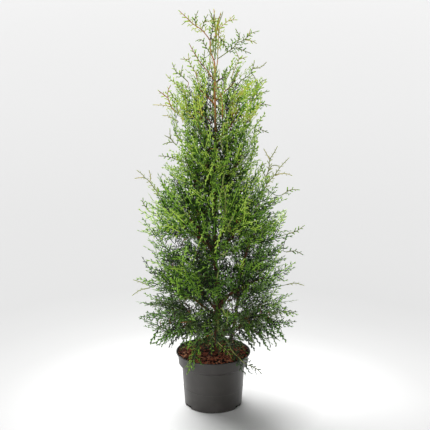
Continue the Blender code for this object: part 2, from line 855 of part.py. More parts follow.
def seen(column, row):
    """Return the place in the plane y = 0 that the photo shows at a pixel.

    With column and row counted from the photo's middle and f the focal length in pixels, the ray through a row
    falls by pitch + atan(row / f), which gives the height. The depth along the camera's axis times column / f
    gives x.
    """
    pitch = math.radians(CAMERA_PITCH)
    away = -CAMERA_PLACE[1]
    fall = pitch + math.atan((row - IMAGE_PIXELS / 2) / CAMERA_FOCAL_PIXELS)
    height = CAMERA_PLACE[2] - away * math.tan(fall)
    depth = away * math.cos(pitch) + (CAMERA_PLACE[2] - height) * math.sin(pitch)
    return Vector((CAMERA_PLACE[0] + (column - IMAGE_PIXELS / 2) / CAMERA_FOCAL_PIXELS * depth, 0.0, height))


def grow_shoots(mass, stem, rng):
    """Return the twigs and sprays of the long shoots that stand out of a mass."""
    twigs = []
    sprays = []
    shoots = SHOOTS.get(mass.name, ())
    forks = {place for shoot in shoots for place in shoot[1:]}
    for shoot in shoots:
        points = [seen(*place) for place in shoot]
        if shoot[0] not in forks:
            points[0] = nearest_on_stem(stem, points[0])
        last = points[-1] - points[-2]
        length = min(SHOOT_SPRAY, 0.92 * last.length)
        direction = last.normalized()
        root = points[-1] - length * direction
        pose = spray_pose(root, direction, length, math.pi / 2 + rng.uniform(-0.5, 0.5))
        sprays.append((pose, 2))
        twigs.append(points[:-1] + [root + 0.25 * length * direction])
        for number, (before, after) in enumerate(zip(points[1:], points[2:])):
            side = 1 if number % 2 else -1
            turn = Matrix.Rotation(side * rng.uniform(0.6, 0.9), 3, "Y")
            heading = (turn @ (after - before)).normalized()
            pose = spray_pose(before.lerp(after, 0.25), heading, 0.85 * SHOOT_SPRAY, math.pi / 2)
            if (in_space(mass, placed(pose, SAMPLES[2]), MARGIN, free=True).all()
                    and not crosses_any(pose, 2, sprays)):
                sprays.append((pose, 2))
    return twigs, sprays


def grow_mass(mass, stem, rng):
    """Return the twigs and sprays that branch from a mass's stem by the seeded rule."""
    tier = mass.tier
    twigs, sprays = grow_shoots(mass, stem, rng)
    taken = [middle_of(pose) for pose, _ in sprays]
    wanted = len(sprays) + tier.sprays

    def keep(spray):
        sprays.append(spray)
        taken.append(middle_of(spray[0]))

    end, end_heading = along_path(stem, 0.99)
    last = side_spray(mass, end, end_heading, tier.spray, sprays, taken, rng)
    if last:
        keep(last)
    while len(sprays) < wanted:
        found = twig_and_spray(mass, stem, tier.spray, sprays, taken, rng)
        if found is None:
            break
        twig, spray = found
        keep(spray)
        if twig is None or len(sprays) == wanted:
            continue
        twigs.append(twig)
        root, heading = along_path(twig, SIDE_SPRAY_PLACE)
        spray = side_spray(mass, root, heading, SIDE_SPRAY_SIZE * tier.spray, sprays, taken, rng)
        if spray:
            keep(spray)
    return twigs, sprays


def build_mass(mass, stem, cutter=None):
    """Grow one mass and join its stem, twigs and sprays into one solid."""
    rng = np.random.default_rng(mass.seed)
    twigs, sprays = grow_mass(mass, stem, rng)
    radii = tapered(stem, STEM_ROOT_RADIUS, STEM_END_RADIUS)
    foliage = add_object(mass.name, tube_mesh(stem, radii, 4), plant, foliage_green)
    bare_stem = foliage.data.copy()
    pieces = new_collection("pieces")
    for twig in twigs:
        mesh = tube_mesh(twig, tapered(twig, TWIG_RADIUS, TWIG_END_RADIUS), 3)
        pieces.objects.link(bpy.data.objects.new("twig", mesh))
    for pose, teeth in sprays:
        mesh = SPRAYS[teeth].copy()
        mesh.transform(pose)
        pieces.objects.link(bpy.data.objects.new("spray", mesh))
    for solver in ("EXACT", "MANIFOLD"):
        foliage.data = bare_stem.copy()
        if cutter:
            boolean(foliage, "DIFFERENCE", cutter, solver)
        boolean(foliage, "UNION", pieces, solver)
        apply_modifiers(foliage, weld=solver == "EXACT")
        if is_closed(foliage.data):
            break
    remove_collection(pieces)


def tier_masses(tier):
    """Return the masses of a tier, each with its own sector."""
    masses = []
    for number in range(tier.count):
        azimuth = math.radians(tier.turn + number * 360 / tier.count)
        high = TOP_LEFT_HIGH if tier.name == "top" and number == 2 else tier.high
        name = "foliage_%s_%d" % (tier.name, number + 1)
        seed = SEED + 10 * TIERS.index(tier) + number
        masses.append(Mass(name, azimuth, math.pi / tier.count, tier.low, high, tier, seed))
    return masses


def trunk_at(height):
    """Return the trunk's centre at a height."""
    heights, x, y = zip(*TRUNK_PLACES)
    return Vector((float(np.interp(height, heights, x)), float(np.interp(height, heights, y)), height))


def carrier_points(mass):
    """Return the points of the limb that runs from the trunk's centre towards a mass."""
    tier = mass.tier
    number = int(mass.name.rsplit("_", 1)[1])
    level = tier.root_level + BOUGH_STAGGER * ((0.382 * number) % 1.0 - 0.5)
    reach = BOUGH_REACH * float(crown_reach(mass.azimuth, tier.tip_level + ARCH_RISE / 2))
    points = [trunk_at(level)]
    for share in (0.36, 0.68, 1.0):
        points.append(crown_point(mass.azimuth, share * reach, level))
    return points


def build_crown(trunk_cutter):
    """Build the boughs of every tier first, then the masses that keep clear of them."""
    jobs = []
    for tier in TIERS:
        for mass in tier_masses(tier):
            if mass.name == SECOND_STEM_MASS:
                heading = (STEM_POINTS[-1] - STEM_POINTS[-2]).normalized()
                jobs.append((mass, mass_stem(mass, STEM_POINTS[-1] + GAP * heading, heading), None))
                continue
            points = carrier_points(mass)
            heading = (points[-1] - points[-2]).normalized()
            if tier.bough:
                name = mass.name.replace("foliage", "bough")
                build_limb(name, points, tapered(points, BOUGH_RADIUS, BOUGH_TIP_RADIUS), 6, trunk_cutter)
                jobs.append((mass, mass_stem(mass, points[-1] + GAP * heading, heading), None))
            else:
                jobs.append((mass, points[:-1] + mass_stem(mass, points[-1], heading), trunk_cutter))
    for mass, stem, cutter in jobs:
        build_mass(mass, stem, cutter)


def build_tips():
    """Build the foliage of the two leaders, each from the end of its limb."""
    half = math.pi / 2
    left = Mass("foliage_tip_left", math.pi, half, TOP_LEFT_HIGH, CROWN_LEVEL_TOP, TIP_TIER, SEED + 100)
    right = Mass("foliage_tip_right", 0.0, half, TIERS[-1].high, CROWN_LEVEL_TOP, TIP_TIER, SEED + 101)
    for mass, base, ends in ((left, TRUNK_POINTS, LEFT_TIP_STEM), (right, LEADER_POINTS, RIGHT_TIP_STEM)):
        heading = (base[-1] - base[-2]).normalized()
        stem = [base[-1] + GAP * heading] + [Vector((x, 0.0, height)) for x, height in ends]
        build_mass(mass, stem)


clear_scene()
plant = new_collection("potted_arborvitae")
cutters = new_collection("cutters")
pot_plastic = material("pot_plastic", (0.045, 0.044, 0.042), 0.45)
soil_dark = material("soil", (0.020, 0.014, 0.010), 0.95)
bark_chips = material("bark_chips", (0.105, 0.045, 0.024), 0.9)
bark = material("bark", (0.130, 0.060, 0.032), 0.85)
foliage_green = material("foliage", (0.095, 0.170, 0.040), 0.6)
limbs = []

build_pot()
build_soil()

TRUNK_POINTS = limb_points(TRUNK_PLACES)
TRUNK_RADII = trunk_radii(TRUNK_POINTS)
build_limb("trunk", TRUNK_POINTS, TRUNK_RADII, 8)
trunk_cutter = limb_cutter("trunk_cutter", TRUNK_POINTS, TRUNK_RADII, 8)

STEM_POINTS = limb_points(STEM_PLACES)
STEM_RADII = tapered(STEM_POINTS, STEM_RADIUS, STEM_TIP_RADIUS)
build_limb("second_stem", STEM_POINTS, STEM_RADII, 8)
stem_cutter = limb_cutter("stem_cutter", STEM_POINTS, STEM_RADII, 8)

LEADER_POINTS = limb_points(LEADER_PLACES)
LEADER_RADII = tapered(LEADER_POINTS, LEADER_RADIUS, LEADER_TIP_RADIUS)
build_limb("leader_right", LEADER_POINTS, LEADER_RADII, 6, trunk_cutter)

build_mulch((trunk_cutter, stem_cutter))

SPRAYS = {teeth: spray_mesh(teeth) for teeth in (2, 3)}
SAMPLES = {teeth: spray_samples(teeth) for teeth in (2, 3)}
RIBS = {teeth: spray_ribs(teeth) for teeth in (2, 3)}
build_crown(trunk_cutter)
build_tips()
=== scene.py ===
"""Looks of the potted brabant arborvitae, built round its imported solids.

The sections follow the plant from its pot upwards: pot, soil, mulch, stems, boughs, and then the foliage,
which grows on from the limbs by the rule of the part's source, carried to finer twigs and sprays.

Metres, +Z up. The origin is the centre of the pot's flat underside, and -Y is the side of the photograph.
"""

import math
from collections import namedtuple

import bpy
import numpy as np
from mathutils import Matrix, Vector


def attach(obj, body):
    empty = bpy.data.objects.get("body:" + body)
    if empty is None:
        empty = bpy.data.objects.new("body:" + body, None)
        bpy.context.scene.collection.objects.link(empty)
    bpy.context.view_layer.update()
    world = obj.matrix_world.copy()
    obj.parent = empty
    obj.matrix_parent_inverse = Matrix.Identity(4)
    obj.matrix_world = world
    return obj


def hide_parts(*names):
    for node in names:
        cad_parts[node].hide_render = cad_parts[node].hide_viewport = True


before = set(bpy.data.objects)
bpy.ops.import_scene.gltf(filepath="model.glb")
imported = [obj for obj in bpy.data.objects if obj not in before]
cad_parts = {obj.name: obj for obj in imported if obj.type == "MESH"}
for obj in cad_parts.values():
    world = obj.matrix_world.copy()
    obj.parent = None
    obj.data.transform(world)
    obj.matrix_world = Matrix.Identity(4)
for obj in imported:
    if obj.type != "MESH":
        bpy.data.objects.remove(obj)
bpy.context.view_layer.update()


# Pot
# A round nursery container of dark grey polypropylene, moulded in one piece: a rolled lip, a wide collar,
# a chamfer down to a tapering wall with one moulded ring, and three drain notches in the foot of the wall.

POT_AROUND, POT_BASE_RADIUS = 288, 0.0886
# From the underside up the outside, over the lip and down the inside, as (radius, height)
POT_PROFILE = (
    (0.0040, 0.0000),
    (0.0760, 0.0000),
    (POT_BASE_RADIUS, 0.0000),
    (0.0925, 0.0578),
    (0.0931, 0.0583),
    (0.0931, 0.0590),
    (0.0926, 0.0596),
    (0.0972, 0.1285),
    (0.1068, 0.1340),
    (0.1094, 0.1652),
    (0.1140, 0.1660),
    (0.1150, 0.1680),
    (0.1148, 0.1708),
    (0.1120, 0.1710),
    (0.1078, 0.1660),
    (0.1050, 0.1354),
    (0.0954, 0.1295),
    (0.0866, 0.0140),
    (0.0780, 0.0024),
    (0.0040, 0.0024),
)
POT_FILLET, POT_ROW = 0.0009, 0.0040
# Finer rows at the foot of the wall: the radius where they start, how far they run, and their pitch
POT_FOOT_START, POT_FOOT_RUN, POT_FOOT_ROW = 0.0700, 0.032, 0.0006
NOTCH_AZIMUTHS = (-150, -30, 90)
# Each notch and the slot in it, as (width, lowest point, highest point, radius left standing)
NOTCH_RECESSES = (
    (0.0270, -1.0, 0.0085, 0.0842),
    (0.0170, 0.0022, 0.0058, 0.0812),
)
NOTCH_EDGE = 0.0012
# Heights and radius that bound the faces deep in the notches, which are painted with shade
HOLE_HEIGHTS, HOLE_RADIUS = (0.0008, 0.0076), 0.0850
PLASTIC_HEX, PLASTIC_WORN_HEX = "#373431", "#4f4c49"
SOIL_HEX, SOIL_CRUMB_HEX = "#1d1612", "#3a2a20"


def linear(hex_colour):
    """Turn an sRGB hex colour into linear red, green, blue and an alpha of one."""
    encoded = np.array([int(hex_colour[at:at + 2], 16) for at in (1, 3, 5)]) / 255
    low, high = encoded / 12.92, ((encoded + 0.055) / 1.055) ** 2.4
    return (*np.where(encoded <= 0.04045, low, high).tolist(), 1.0)


def new_material(name, hex_colour, roughness, specular=0.5):
    """Return a material with its node tree and its Principled shader, one colour and roughness all over."""
    made = bpy.data.materials.new(name)
    made.use_nodes = True
    shader = made.node_tree.nodes["Principled BSDF"]
    shader.inputs["Base Color"].default_value = linear(hex_colour)
    shader.inputs["Roughness"].default_value = roughness
    shader.inputs["Specular IOR Level"].default_value = specular
    return made, made.node_tree, shader


def add_node(tree, kind, inputs, **settings):
    """Add a node with its settings. Each input is given a value, or the output that feeds it."""
    node = tree.nodes.new(kind)
    for name, value in settings.items():
        setattr(node, name, value)
    for name, value in inputs.items():
        if isinstance(value, bpy.types.NodeSocket):
            tree.links.new(value, node.inputs[name])
        else:
            node.inputs[name].default_value = value
    return node


def object_place(tree):
    """Return the output that gives each point its Object coordinates."""
    return add_node(tree, "ShaderNodeTexCoord", {}).outputs["Object"]


def add_piece(name, points, faces, materials, face_materials=None, smooth=True):
    """Put an array of points, and arrays of faces with three or four corners each, into a new mesh object."""
    mesh = bpy.data.meshes.new(name)
    corners = np.concatenate([face.ravel() for face in faces]).astype(np.int32)
    sizes = np.concatenate([np.full(len(face), face.shape[1]) for face in faces])
    starts = (np.cumsum(sizes) - sizes).astype(np.int32)
    mesh.vertices.add(len(points))
    mesh.vertices.foreach_set("co", np.asarray(points, np.float32).ravel())
    mesh.loops.add(len(corners))
    mesh.loops.foreach_set("vertex_index", corners)
    mesh.polygons.add(len(sizes))
    mesh.polygons.foreach_set("loop_start", starts)
    mesh.polygons.foreach_set("use_smooth", np.full(len(sizes), smooth))
    for finish in materials:
        mesh.materials.append(finish)
    if face_materials is not None:
        mesh.polygons.foreach_set("material_index", np.asarray(face_materials, np.int32))
    mesh.update(calc_edges=True)
    piece = bpy.data.objects.new(name, mesh)
    bpy.context.scene.collection.objects.link(piece)
    return piece


def bent(start, bend, end, way):
    """Return the parabola from start to end, drawn towards the bend, at each way between zero and one."""
    return (1 - way) ** 2 * start + 2 * way * (1 - way) * bend + way ** 2 * end


def filleted(profile, size, steps=3):
    """Round a profile: each corner gives way to the parabola between its edges, from a size before it."""
    profile = np.array(profile, float)
    corner = profile[1:-1]
    reached = []
    for neighbour in (profile[:-2], profile[2:]):
        gap = neighbour - corner
        length = np.linalg.norm(gap, axis=1, keepdims=True)
        reached.append((corner + gap * np.minimum(size / length, 0.45))[:, None])
    share = np.linspace(0, 1, steps + 1)[None, :, None]
    curve = bent(reached[0], corner[:, None], reached[1], share)
    return np.vstack([profile[:1], curve.reshape(-1, 2), profile[-1:]])


def lengths_along(line):
    """Return how far each point of a line lies along it."""
    return np.concatenate([[0.0], np.cumsum(np.linalg.norm(np.diff(line, axis=0), axis=1))])


def skin(rings, first=None, last=None):
    """Return points and faces of closed skins, each over a stack of rings with a pole at either end.

    Each ring's points are joined to the next ring's by quads, and the end rings to the poles, which are
    their middles unless they are given.
    """
    count, rows, around = rings.shape[:3]
    first = rings[:, 0].mean(1) if first is None else first
    last = rings[:, -1].mean(1) if last is None else last
    points = np.concatenate([rings.reshape(count, -1, 3), first[:, None], last[:, None]], axis=1)
    number = np.arange(rows * around).reshape(rows, around)
    beside = np.roll(number, -1, axis=1)
    quads = np.stack([number[:-1], beside[:-1], beside[1:], number[1:]], axis=-1).reshape(-1, 4)
    pole = np.full(around, rows * around)
    fans = np.vstack([np.stack([pole, beside[0], number[0]], axis=-1),
                      np.stack([pole + 1, number[-1], beside[-1]], axis=-1)])
    offset = np.arange(count)[:, None, None] * points.shape[1]
    return points.reshape(-1, 3), [(quads + offset).reshape(-1, 4), (fans + offset).reshape(-1, 3)]


def pot_rings():
    """Turn the pot's profile round the vertical axis, with the notches pressed into its foot.

    A point at an azimuth and a height stands at its profile's radius. In a notch it moves in towards the
    radius left standing there, by a share that falls from one to zero over the notch's edge.
    """
    profile = filleted(POT_PROFILE, POT_FILLET)
    at = lengths_along(profile)
    foot = at[np.searchsorted(profile[:, 0], POT_FOOT_START)] + np.arange(0.0, POT_FOOT_RUN, POT_FOOT_ROW)
    wanted = np.unique(np.concatenate([at, np.arange(0, at[-1], POT_ROW), foot]).round(6))
    radius = np.interp(wanted, at, profile[:, 0])[:, None]
    height = np.interp(wanted, at, profile[:, 1])[:, None]
    azimuth = np.linspace(0, 2 * math.pi, POT_AROUND, endpoint=False)[None, :]
    outside = wanted[:, None] < at[len(at) // 2]
    for notch in np.radians(NOTCH_AZIMUTHS):
        away = np.abs((azimuth - notch + math.pi) % (2 * math.pi) - math.pi) * POT_BASE_RADIUS
        for width, low, high, standing in NOTCH_RECESSES:
            inside = np.clip((width / 2 - away) / NOTCH_EDGE + 0.5, 0, 1)
            inside = inside * np.clip((height - low) / NOTCH_EDGE + 0.5, 0, 1)
            inside = inside * np.clip((high - height) / NOTCH_EDGE + 0.5, 0, 1) * outside
            radius = radius - inside * np.maximum(radius - standing, 0)
    radius = radius + 0 * azimuth
    return np.stack([radius * np.cos(azimuth), radius * np.sin(azimuth), height + 0 * azimuth], axis=-1)


# Moulded polypropylene: even satin, with faint upright flow marks, a fine grain and pale scuffs near its foot
polypropylene, tree, shader = new_material("moulded_polypropylene", PLASTIC_HEX, 0.42)
place = object_place(tree)
# Flow marks about 12 mm wide and 120 mm long
stretch = add_node(tree, "ShaderNodeMapping", {"Vector": place, "Scale": (1.0, 1.0, 0.1)})
flow = add_node(tree, "ShaderNodeTexNoise", {"Vector": stretch.outputs["Vector"], "Scale": 80.0,
                                             "Detail": 3.0})
# Scuffs about 25 mm across
scuff = add_node(tree, "ShaderNodeTexNoise", {"Vector": place, "Scale": 40.0, "Detail": 5.0})
height = add_node(tree, "ShaderNodeSeparateXYZ", {"Vector": place})
low = add_node(tree, "ShaderNodeMapRange", {"Value": height.outputs["Z"], "From Min": 0.0, "From Max": 0.09,
                                            "To Min": 0.55, "To Max": 0.12})
worn = add_node(tree, "ShaderNodeMapRange", {"Value": scuff.outputs["Fac"], "From Min": 0.46,
                                             "From Max": 0.72, "To Min": 0.0, "To Max": 1.0})
share = add_node(tree, "ShaderNodeMath", {0: worn.outputs["Result"], 1: low.outputs["Result"]},
                 operation="MULTIPLY")
colour = add_node(tree, "ShaderNodeMix", {"Factor": share.outputs["Value"], "A": linear(PLASTIC_HEX),
                                          "B": linear(PLASTIC_WORN_HEX)}, data_type="RGBA")
gloss = add_node(tree, "ShaderNodeMapRange", {"Value": flow.outputs["Fac"], "From Min": 0.3, "From Max": 0.7,
                                              "To Min": 0.36, "To Max": 0.50})
# Grain of the mould, really about 0.3 mm and drawn at 1.2 mm so that it can show
grain = add_node(tree, "ShaderNodeTexNoise", {"Vector": place, "Scale": 800.0, "Detail": 2.0})
bump = add_node(tree, "ShaderNodeBump", {"Height": grain.outputs["Fac"], "Strength": 0.10,
                                         "Distance": 0.0003})
tree.links.new(colour.outputs["Result"], shader.inputs["Base Color"])
tree.links.new(gloss.outputs["Result"], shader.inputs["Roughness"])
tree.links.new(bump.outputs["Normal"], shader.inputs["Normal"])

# Potting mix: dark crumbs of peat and bark, about 4 mm across
potting_mix, tree, shader = new_material("potting_mix", SOIL_HEX, 0.95, 0.2)
place = object_place(tree)
crumbs = add_node(tree, "ShaderNodeTexVoronoi", {"Vector": place, "Scale": 250.0})
shade = add_node(tree, "ShaderNodeMix", {"Factor": crumbs.outputs["Distance"], "A": linear(SOIL_HEX),
                                         "B": linear(SOIL_CRUMB_HEX)}, data_type="RGBA")
bump = add_node(tree, "ShaderNodeBump", {"Height": crumbs.outputs["Distance"], "Strength": 0.8,
                                         "Distance": 0.002})
tree.links.new(shade.outputs["Result"], shader.inputs["Base Color"])
tree.links.new(bump.outputs["Normal"], shader.inputs["Normal"])

# Painted shade: a near-black colour on the faces deep in the drain notches, standing in for the shade inside
# the holes
notch_shade_paint = new_material("wet_potting_mix", "#070605", 0.9, 0.1)[0]

points, faces = skin(pot_rings()[None])
middles = points[faces[0]].mean(1)
notch_shade_faces = ((middles[:, 2] > HOLE_HEIGHTS[0]) & (middles[:, 2] < HOLE_HEIGHTS[1])
            & (np.hypot(middles[:, 0], middles[:, 1]) < HOLE_RADIUS))
face_materials = np.concatenate([notch_shade_faces.astype(int), np.zeros(len(faces[1]), int)])
pot = add_piece("nursery_pot", points, faces, [polypropylene, notch_shade_paint], face_materials)
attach(pot, "root")
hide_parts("pot")


# Soil
# Potting mix of peat and composted bark, poured in and pressed down. Only a little of it shows.

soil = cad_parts["soil"]
soil.data.materials.clear()
soil.data.materials.append(potting_mix)


# Bark mulch
# A layer of chipped pine bark, red-brown and orange, strewn over the soil. The chips lie at all angles
# and leave dark gaps between them.

# The bed's radius, its height in the middle and at its edge, its thickness and the size of its waves
MULCH_REACH, MULCH_BED, MULCH_EDGE = 0.1082, 0.1640, 0.1636
BED_THICKNESS, BED_WAVE, BED_ROWS, BED_AROUND = 0.003, 0.0012, 40, 120
CHIP_COUNT, CHIP_REACH = 1200, 0.1108
# Chips are 7 to 18 mm long, 3.5 to 7.5 mm wide and 1.2 to 2.6 mm thick
CHIP_LENGTH, CHIP_WIDTH, CHIP_THICKNESS = (0.007, 0.018), (0.0035, 0.0075), (0.0012, 0.0026)
CHIP_TILT, CHIP_TAPER, CHIP_HEIGHTS, CHIP_SEED = 0.50, (0.45, 1.0), (0.1662, 0.1702), 31
CHIP_HEXES = ("#a95c4a", "#cb7a59", "#693d30", "#e0a07a", "#1f130f")
CHIP_SHARES = (0.27, 0.22, 0.20, 0.11, 0.20)


def bed_rings():
    """Return rings of the mulch's bed: a low dome whose height waves with place, over a flat underside."""
    share = np.linspace(0.02, 1, BED_ROWS)[::-1, None]
    azimuth = np.linspace(0, 2 * math.pi, BED_AROUND, endpoint=False)[None, :]
    radius = share * MULCH_REACH + 0 * azimuth
    x, y = radius * np.cos(azimuth), radius * np.sin(azimuth)
    wave = np.sin(x * 310 + 1.3 * np.sin(y * 170)) * np.sin(y * 290 + 1.7 * np.sin(x * 210))
    height = MULCH_BED + BED_WAVE * wave - (MULCH_BED - MULCH_EDGE) * share ** 6
    top = np.stack([x, y, height], axis=-1)
    under = top[:1] * (1, 1, 0) + (0, 0, MULCH_EDGE - BED_THICKNESS)
    return np.concatenate([under, top])


def chip_points(rng):
    """Return the eight corners of every chip: a box whose ends and edges are drawn in unevenly.

    Corner = place + turn about the vertical and two small tilts of (half size x corner sign x random taper).
    """
    sign = np.array([[i, j, k] for k in (-1, 1) for j in (-1, 1) for i in (-1, 1)], float)
    size = np.stack([rng.uniform(*span, CHIP_COUNT) for span in (CHIP_LENGTH, CHIP_WIDTH, CHIP_THICKNESS)], 1)
    taper = rng.uniform(*CHIP_TAPER, (CHIP_COUNT, 8, 3))
    corners = sign * size[:, None] / 2 * taper
    turn = rng.uniform(0, math.pi, CHIP_COUNT)
    tilt = rng.uniform(-CHIP_TILT, CHIP_TILT, (2, CHIP_COUNT, 1))
    x, y, z = np.moveaxis(corners, 2, 0)
    y, z = y * np.cos(tilt[0]) - z * np.sin(tilt[0]), y * np.sin(tilt[0]) + z * np.cos(tilt[0])
    x, z = x * np.cos(tilt[1]) + z * np.sin(tilt[1]), z * np.cos(tilt[1]) - x * np.sin(tilt[1])
    cos, sin = np.cos(turn)[:, None], np.sin(turn)[:, None]
    corners = np.stack([x * cos - y * sin, x * sin + y * cos, z], axis=-1)
    radius = (CHIP_REACH - size[:, 0] / 2) * np.sqrt(rng.uniform(0, 1, CHIP_COUNT))
    azimuth = rng.uniform(0, 2 * math.pi, CHIP_COUNT)
    height = rng.uniform(*CHIP_HEIGHTS, CHIP_COUNT)
    place = np.stack([radius * np.cos(azimuth), radius * np.sin(azimuth), height], axis=-1)
    return corners + place[:, None]


def bark_chip_material(name, hex_colour):
    """Return chipped bark in one of its colours: matte, with darker fibres about 1 mm apart."""
    made, tree, shader = new_material(name, hex_colour, 0.85, 0.25)
    place = object_place(tree)
    fibre = add_node(tree, "ShaderNodeTexNoise", {"Vector": place, "Scale": 500.0,
                                                  "Detail": 4.0})
    dark = tuple(0.45 * value for value in linear(hex_colour)[:3]) + (1.0,)
    colour = add_node(tree, "ShaderNodeMix", {"Factor": fibre.outputs["Fac"], "A": dark,
                                              "B": linear(hex_colour)}, data_type="RGBA")
    bump = add_node(tree, "ShaderNodeBump", {"Height": fibre.outputs["Fac"], "Strength": 0.5,
                                             "Distance": 0.0008})
    tree.links.new(colour.outputs["Result"], shader.inputs["Base Color"])
    tree.links.new(bump.outputs["Normal"], shader.inputs["Normal"])
    return made


points, faces = skin(bed_rings()[None])
bed = add_piece("mulch_bed", points, faces, [potting_mix])
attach(bed, "root")
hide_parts("bark_mulch")

rng = np.random.default_rng(CHIP_SEED)
corners = chip_points(rng)
sides = np.array([[0, 2, 3, 1], [4, 5, 7, 6], [0, 1, 5, 4], [2, 6, 7, 3], [0, 4, 6, 2], [1, 3, 7, 5]])
quads = (np.arange(CHIP_COUNT)[:, None, None] * 8 + sides).reshape(-1, 4)
tints = np.repeat(rng.choice(len(CHIP_HEXES), CHIP_COUNT, p=CHIP_SHARES), len(sides))
chip_materials = [bark_chip_material("chipped_bark_%d" % (number + 1), hex_colour)
                  for number, hex_colour in enumerate(CHIP_HEXES)]
chips = add_piece("bark_chips", corners.reshape(-1, 3), [quads], chip_materials, tints, smooth=False)
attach(chips, "root")
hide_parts("bark_mulch")


# Trunk, second stem and right leader
# Young stems under thin red-brown bark that peels in narrow fibrous strips. The trunk rises from the soil
# to its fork near the top, the second stem stands on its right, and the right leader forks off the trunk.

SOIL_TOP = 0.1503
# Places up each stem as (height, x, y)
TRUNK_PLACES = (
    (SOIL_TOP, 0.0120, 0.000),
    (0.168, 0.0120, 0.000),
    (0.200, 0.0125, -0.001),
    (0.300, 0.0160, -0.003),
    (0.345, 0.0165, -0.003),
    (0.430, 0.0085, -0.001),
    (0.500, 0.0055, 0.001),
    (0.640, 0.0060, 0.002),
    (0.790, 0.0070, 0.000),
    (0.910, 0.0060, -0.002),
    (1.006, 0.0040, 0.000),
    (1.062, 0.0025, 0.001),
    (1.085, -0.0065, 0.001),
    (1.120, -0.0090, 0.000),
)
SECOND_STEM_PLACES = (
    (SOIL_TOP, 0.0480, -0.004),
    (0.182, 0.0500, -0.004),
    (0.266, 0.0650, -0.005),
    (0.330, 0.0735, -0.004),
    (0.400, 0.0810, -0.003),
    (0.470, 0.0960, -0.002),
    (0.530, 0.1120, -0.001),
)
LEADER_PLACES = (
    (1.016, 0.0040, 0.000),
    (1.040, 0.0095, -0.001),
    (1.066, 0.0132, -0.001),
)
TRUNK_RADII, SECOND_STEM_RADII, LEADER_RADII = (0.0082, 0.0016), (0.0052, 0.0034), (0.0017, 0.0014)
FLARE, FLARE_HEIGHT = 0.0045, 0.014
STEM_AROUND, STEM_ROW = 28, 0.004
STRIP_WAVES = ((5, 0.030, 21.0), (8, 0.026, -33.0), (13, 0.018, 47.0))
KNOT_RELIEF, KNOT_PITCH = 0.05, 0.037
BARK_HEX, BARK_DARK_HEX, BARK_PALE_HEX = "#6d4632", "#38241a", "#95694b"
YOUNG_BARK_HEX, YOUNG_BARK_HEIGHTS = "#dc9a64", (0.70, 0.95)


def smooth_line(places, step):
    """Carry a smooth curve through places: cubic stretches whose slopes follow the chords beside a place."""
    places = np.array(places, float)
    at = lengths_along(places)
    slope = np.gradient(places, at, axis=0)
    where = np.linspace(0, at[-1], max(4, int(at[-1] / step) + 2))
    part = np.clip(np.searchsorted(at, where, side="right") - 1, 0, len(at) - 2)
    span = (at[part + 1] - at[part])[:, None]
    t = (where - at[part])[:, None] / span
    return ((2 * t ** 3 - 3 * t ** 2 + 1) * places[part] + (t ** 3 - 2 * t ** 2 + t) * span * slope[part]
            + (3 * t ** 2 - 2 * t ** 3) * places[part + 1] + (t ** 3 - t ** 2) * span * slope[part + 1])


def unit(vectors):
    """Return vectors, the last axis of an array, scaled to length one."""
    return vectors / np.maximum(np.linalg.norm(vectors, axis=-1, keepdims=True), 1e-12)


def limb_rings(lines, radii, around, relief=1.0, flare=0.0):
    """Return rings round limbs' centre lines, with the relief of their bark.

    A radius falls evenly from foot to tip, plus a flare that dies out upwards. It swells by a sum of
    waves round the limb, which turn with the way along it, and at each knot along it.
    """
    lines = np.asarray(lines)
    way = np.linspace(0, 1, lines.shape[1]) * np.linalg.norm(np.diff(lines, axis=1), axis=-1).sum(1)[:, None]
    along = unit(np.gradient(lines, axis=1))
    least = np.eye(3)[np.abs(lines[:, -1] - lines[:, 0]).argmin(1)]
    first = unit(np.cross(along, least[:, None]))
    second = np.cross(along, first)
    turn = np.linspace(0, 2 * math.pi, around, endpoint=False)
    share = (way / way[:, -1:])[..., None]
    way = way[..., None]
    swell = sum(size * np.sin(count * turn + drift * way + 9 * np.sin(way * 17 + count))
                for count, size, drift in STRIP_WAVES)
    swell = swell + KNOT_RELIEF * np.exp(-(((way / KNOT_PITCH + 0.3) % 1 - 0.5) / 0.09) ** 2)
    radius = radii[0] + (radii[1] - radii[0]) * share + flare * np.exp(-way / FLARE_HEIGHT)
    radius = (radius * (1 + relief * swell))[..., None]
    return lines[:, :, None] + radius * (first[:, :, None] * np.cos(turn)[:, None]
                                         + second[:, :, None] * np.sin(turn)[:, None])


def joined(parts):
    """Join several (points, faces) into one, by adding to each part's face numbers the points before it."""
    before = np.cumsum([0] + [len(points) for points, _ in parts[:-1]])
    faces = [face + start for start, (_, part) in zip(before, parts) for face in part]
    by_corners = [np.vstack(group) for size in (3, 4)
                  if (group := [face for face in faces if face.shape[1] == size])]
    return np.vstack([points for points, _ in parts]), by_corners


def stem_line(places):
    """Return the smooth centre line through places that are written as (height, x, y)."""
    return smooth_line([(x, y, height) for height, x, y in places], STEM_ROW)


# Fibrous bark: strips about 3 mm wide that run up the stem, dark in their gaps and worn pale on their ridges
fibrous_bark, tree, shader = new_material("fibrous_bark", BARK_HEX, 0.82, 0.3)
place = object_place(tree)
stretch = add_node(tree, "ShaderNodeMapping", {"Vector": place, "Scale": (1.0, 1.0, 0.14)})
strips = add_node(tree, "ShaderNodeTexNoise", {"Vector": stretch.outputs["Vector"], "Scale": 330.0,
                                               "Detail": 5.0, "Roughness": 0.65})
patches = add_node(tree, "ShaderNodeTexNoise", {"Vector": place, "Scale": 28.0})
tones = add_node(tree, "ShaderNodeValToRGB", {"Fac": strips.outputs["Fac"]})
tones.color_ramp.elements[0].position, tones.color_ramp.elements[0].color = 0.34, linear(BARK_DARK_HEX)
tones.color_ramp.elements[1].position, tones.color_ramp.elements[1].color = 0.52, linear(BARK_HEX)
ridge = tones.color_ramp.elements.new(0.72)
ridge.color = linear(BARK_PALE_HEX)
mottled = add_node(tree, "ShaderNodeMix", {"Factor": patches.outputs["Fac"], "A": tones.outputs["Color"],
                                           "B": linear(BARK_HEX)}, data_type="RGBA")
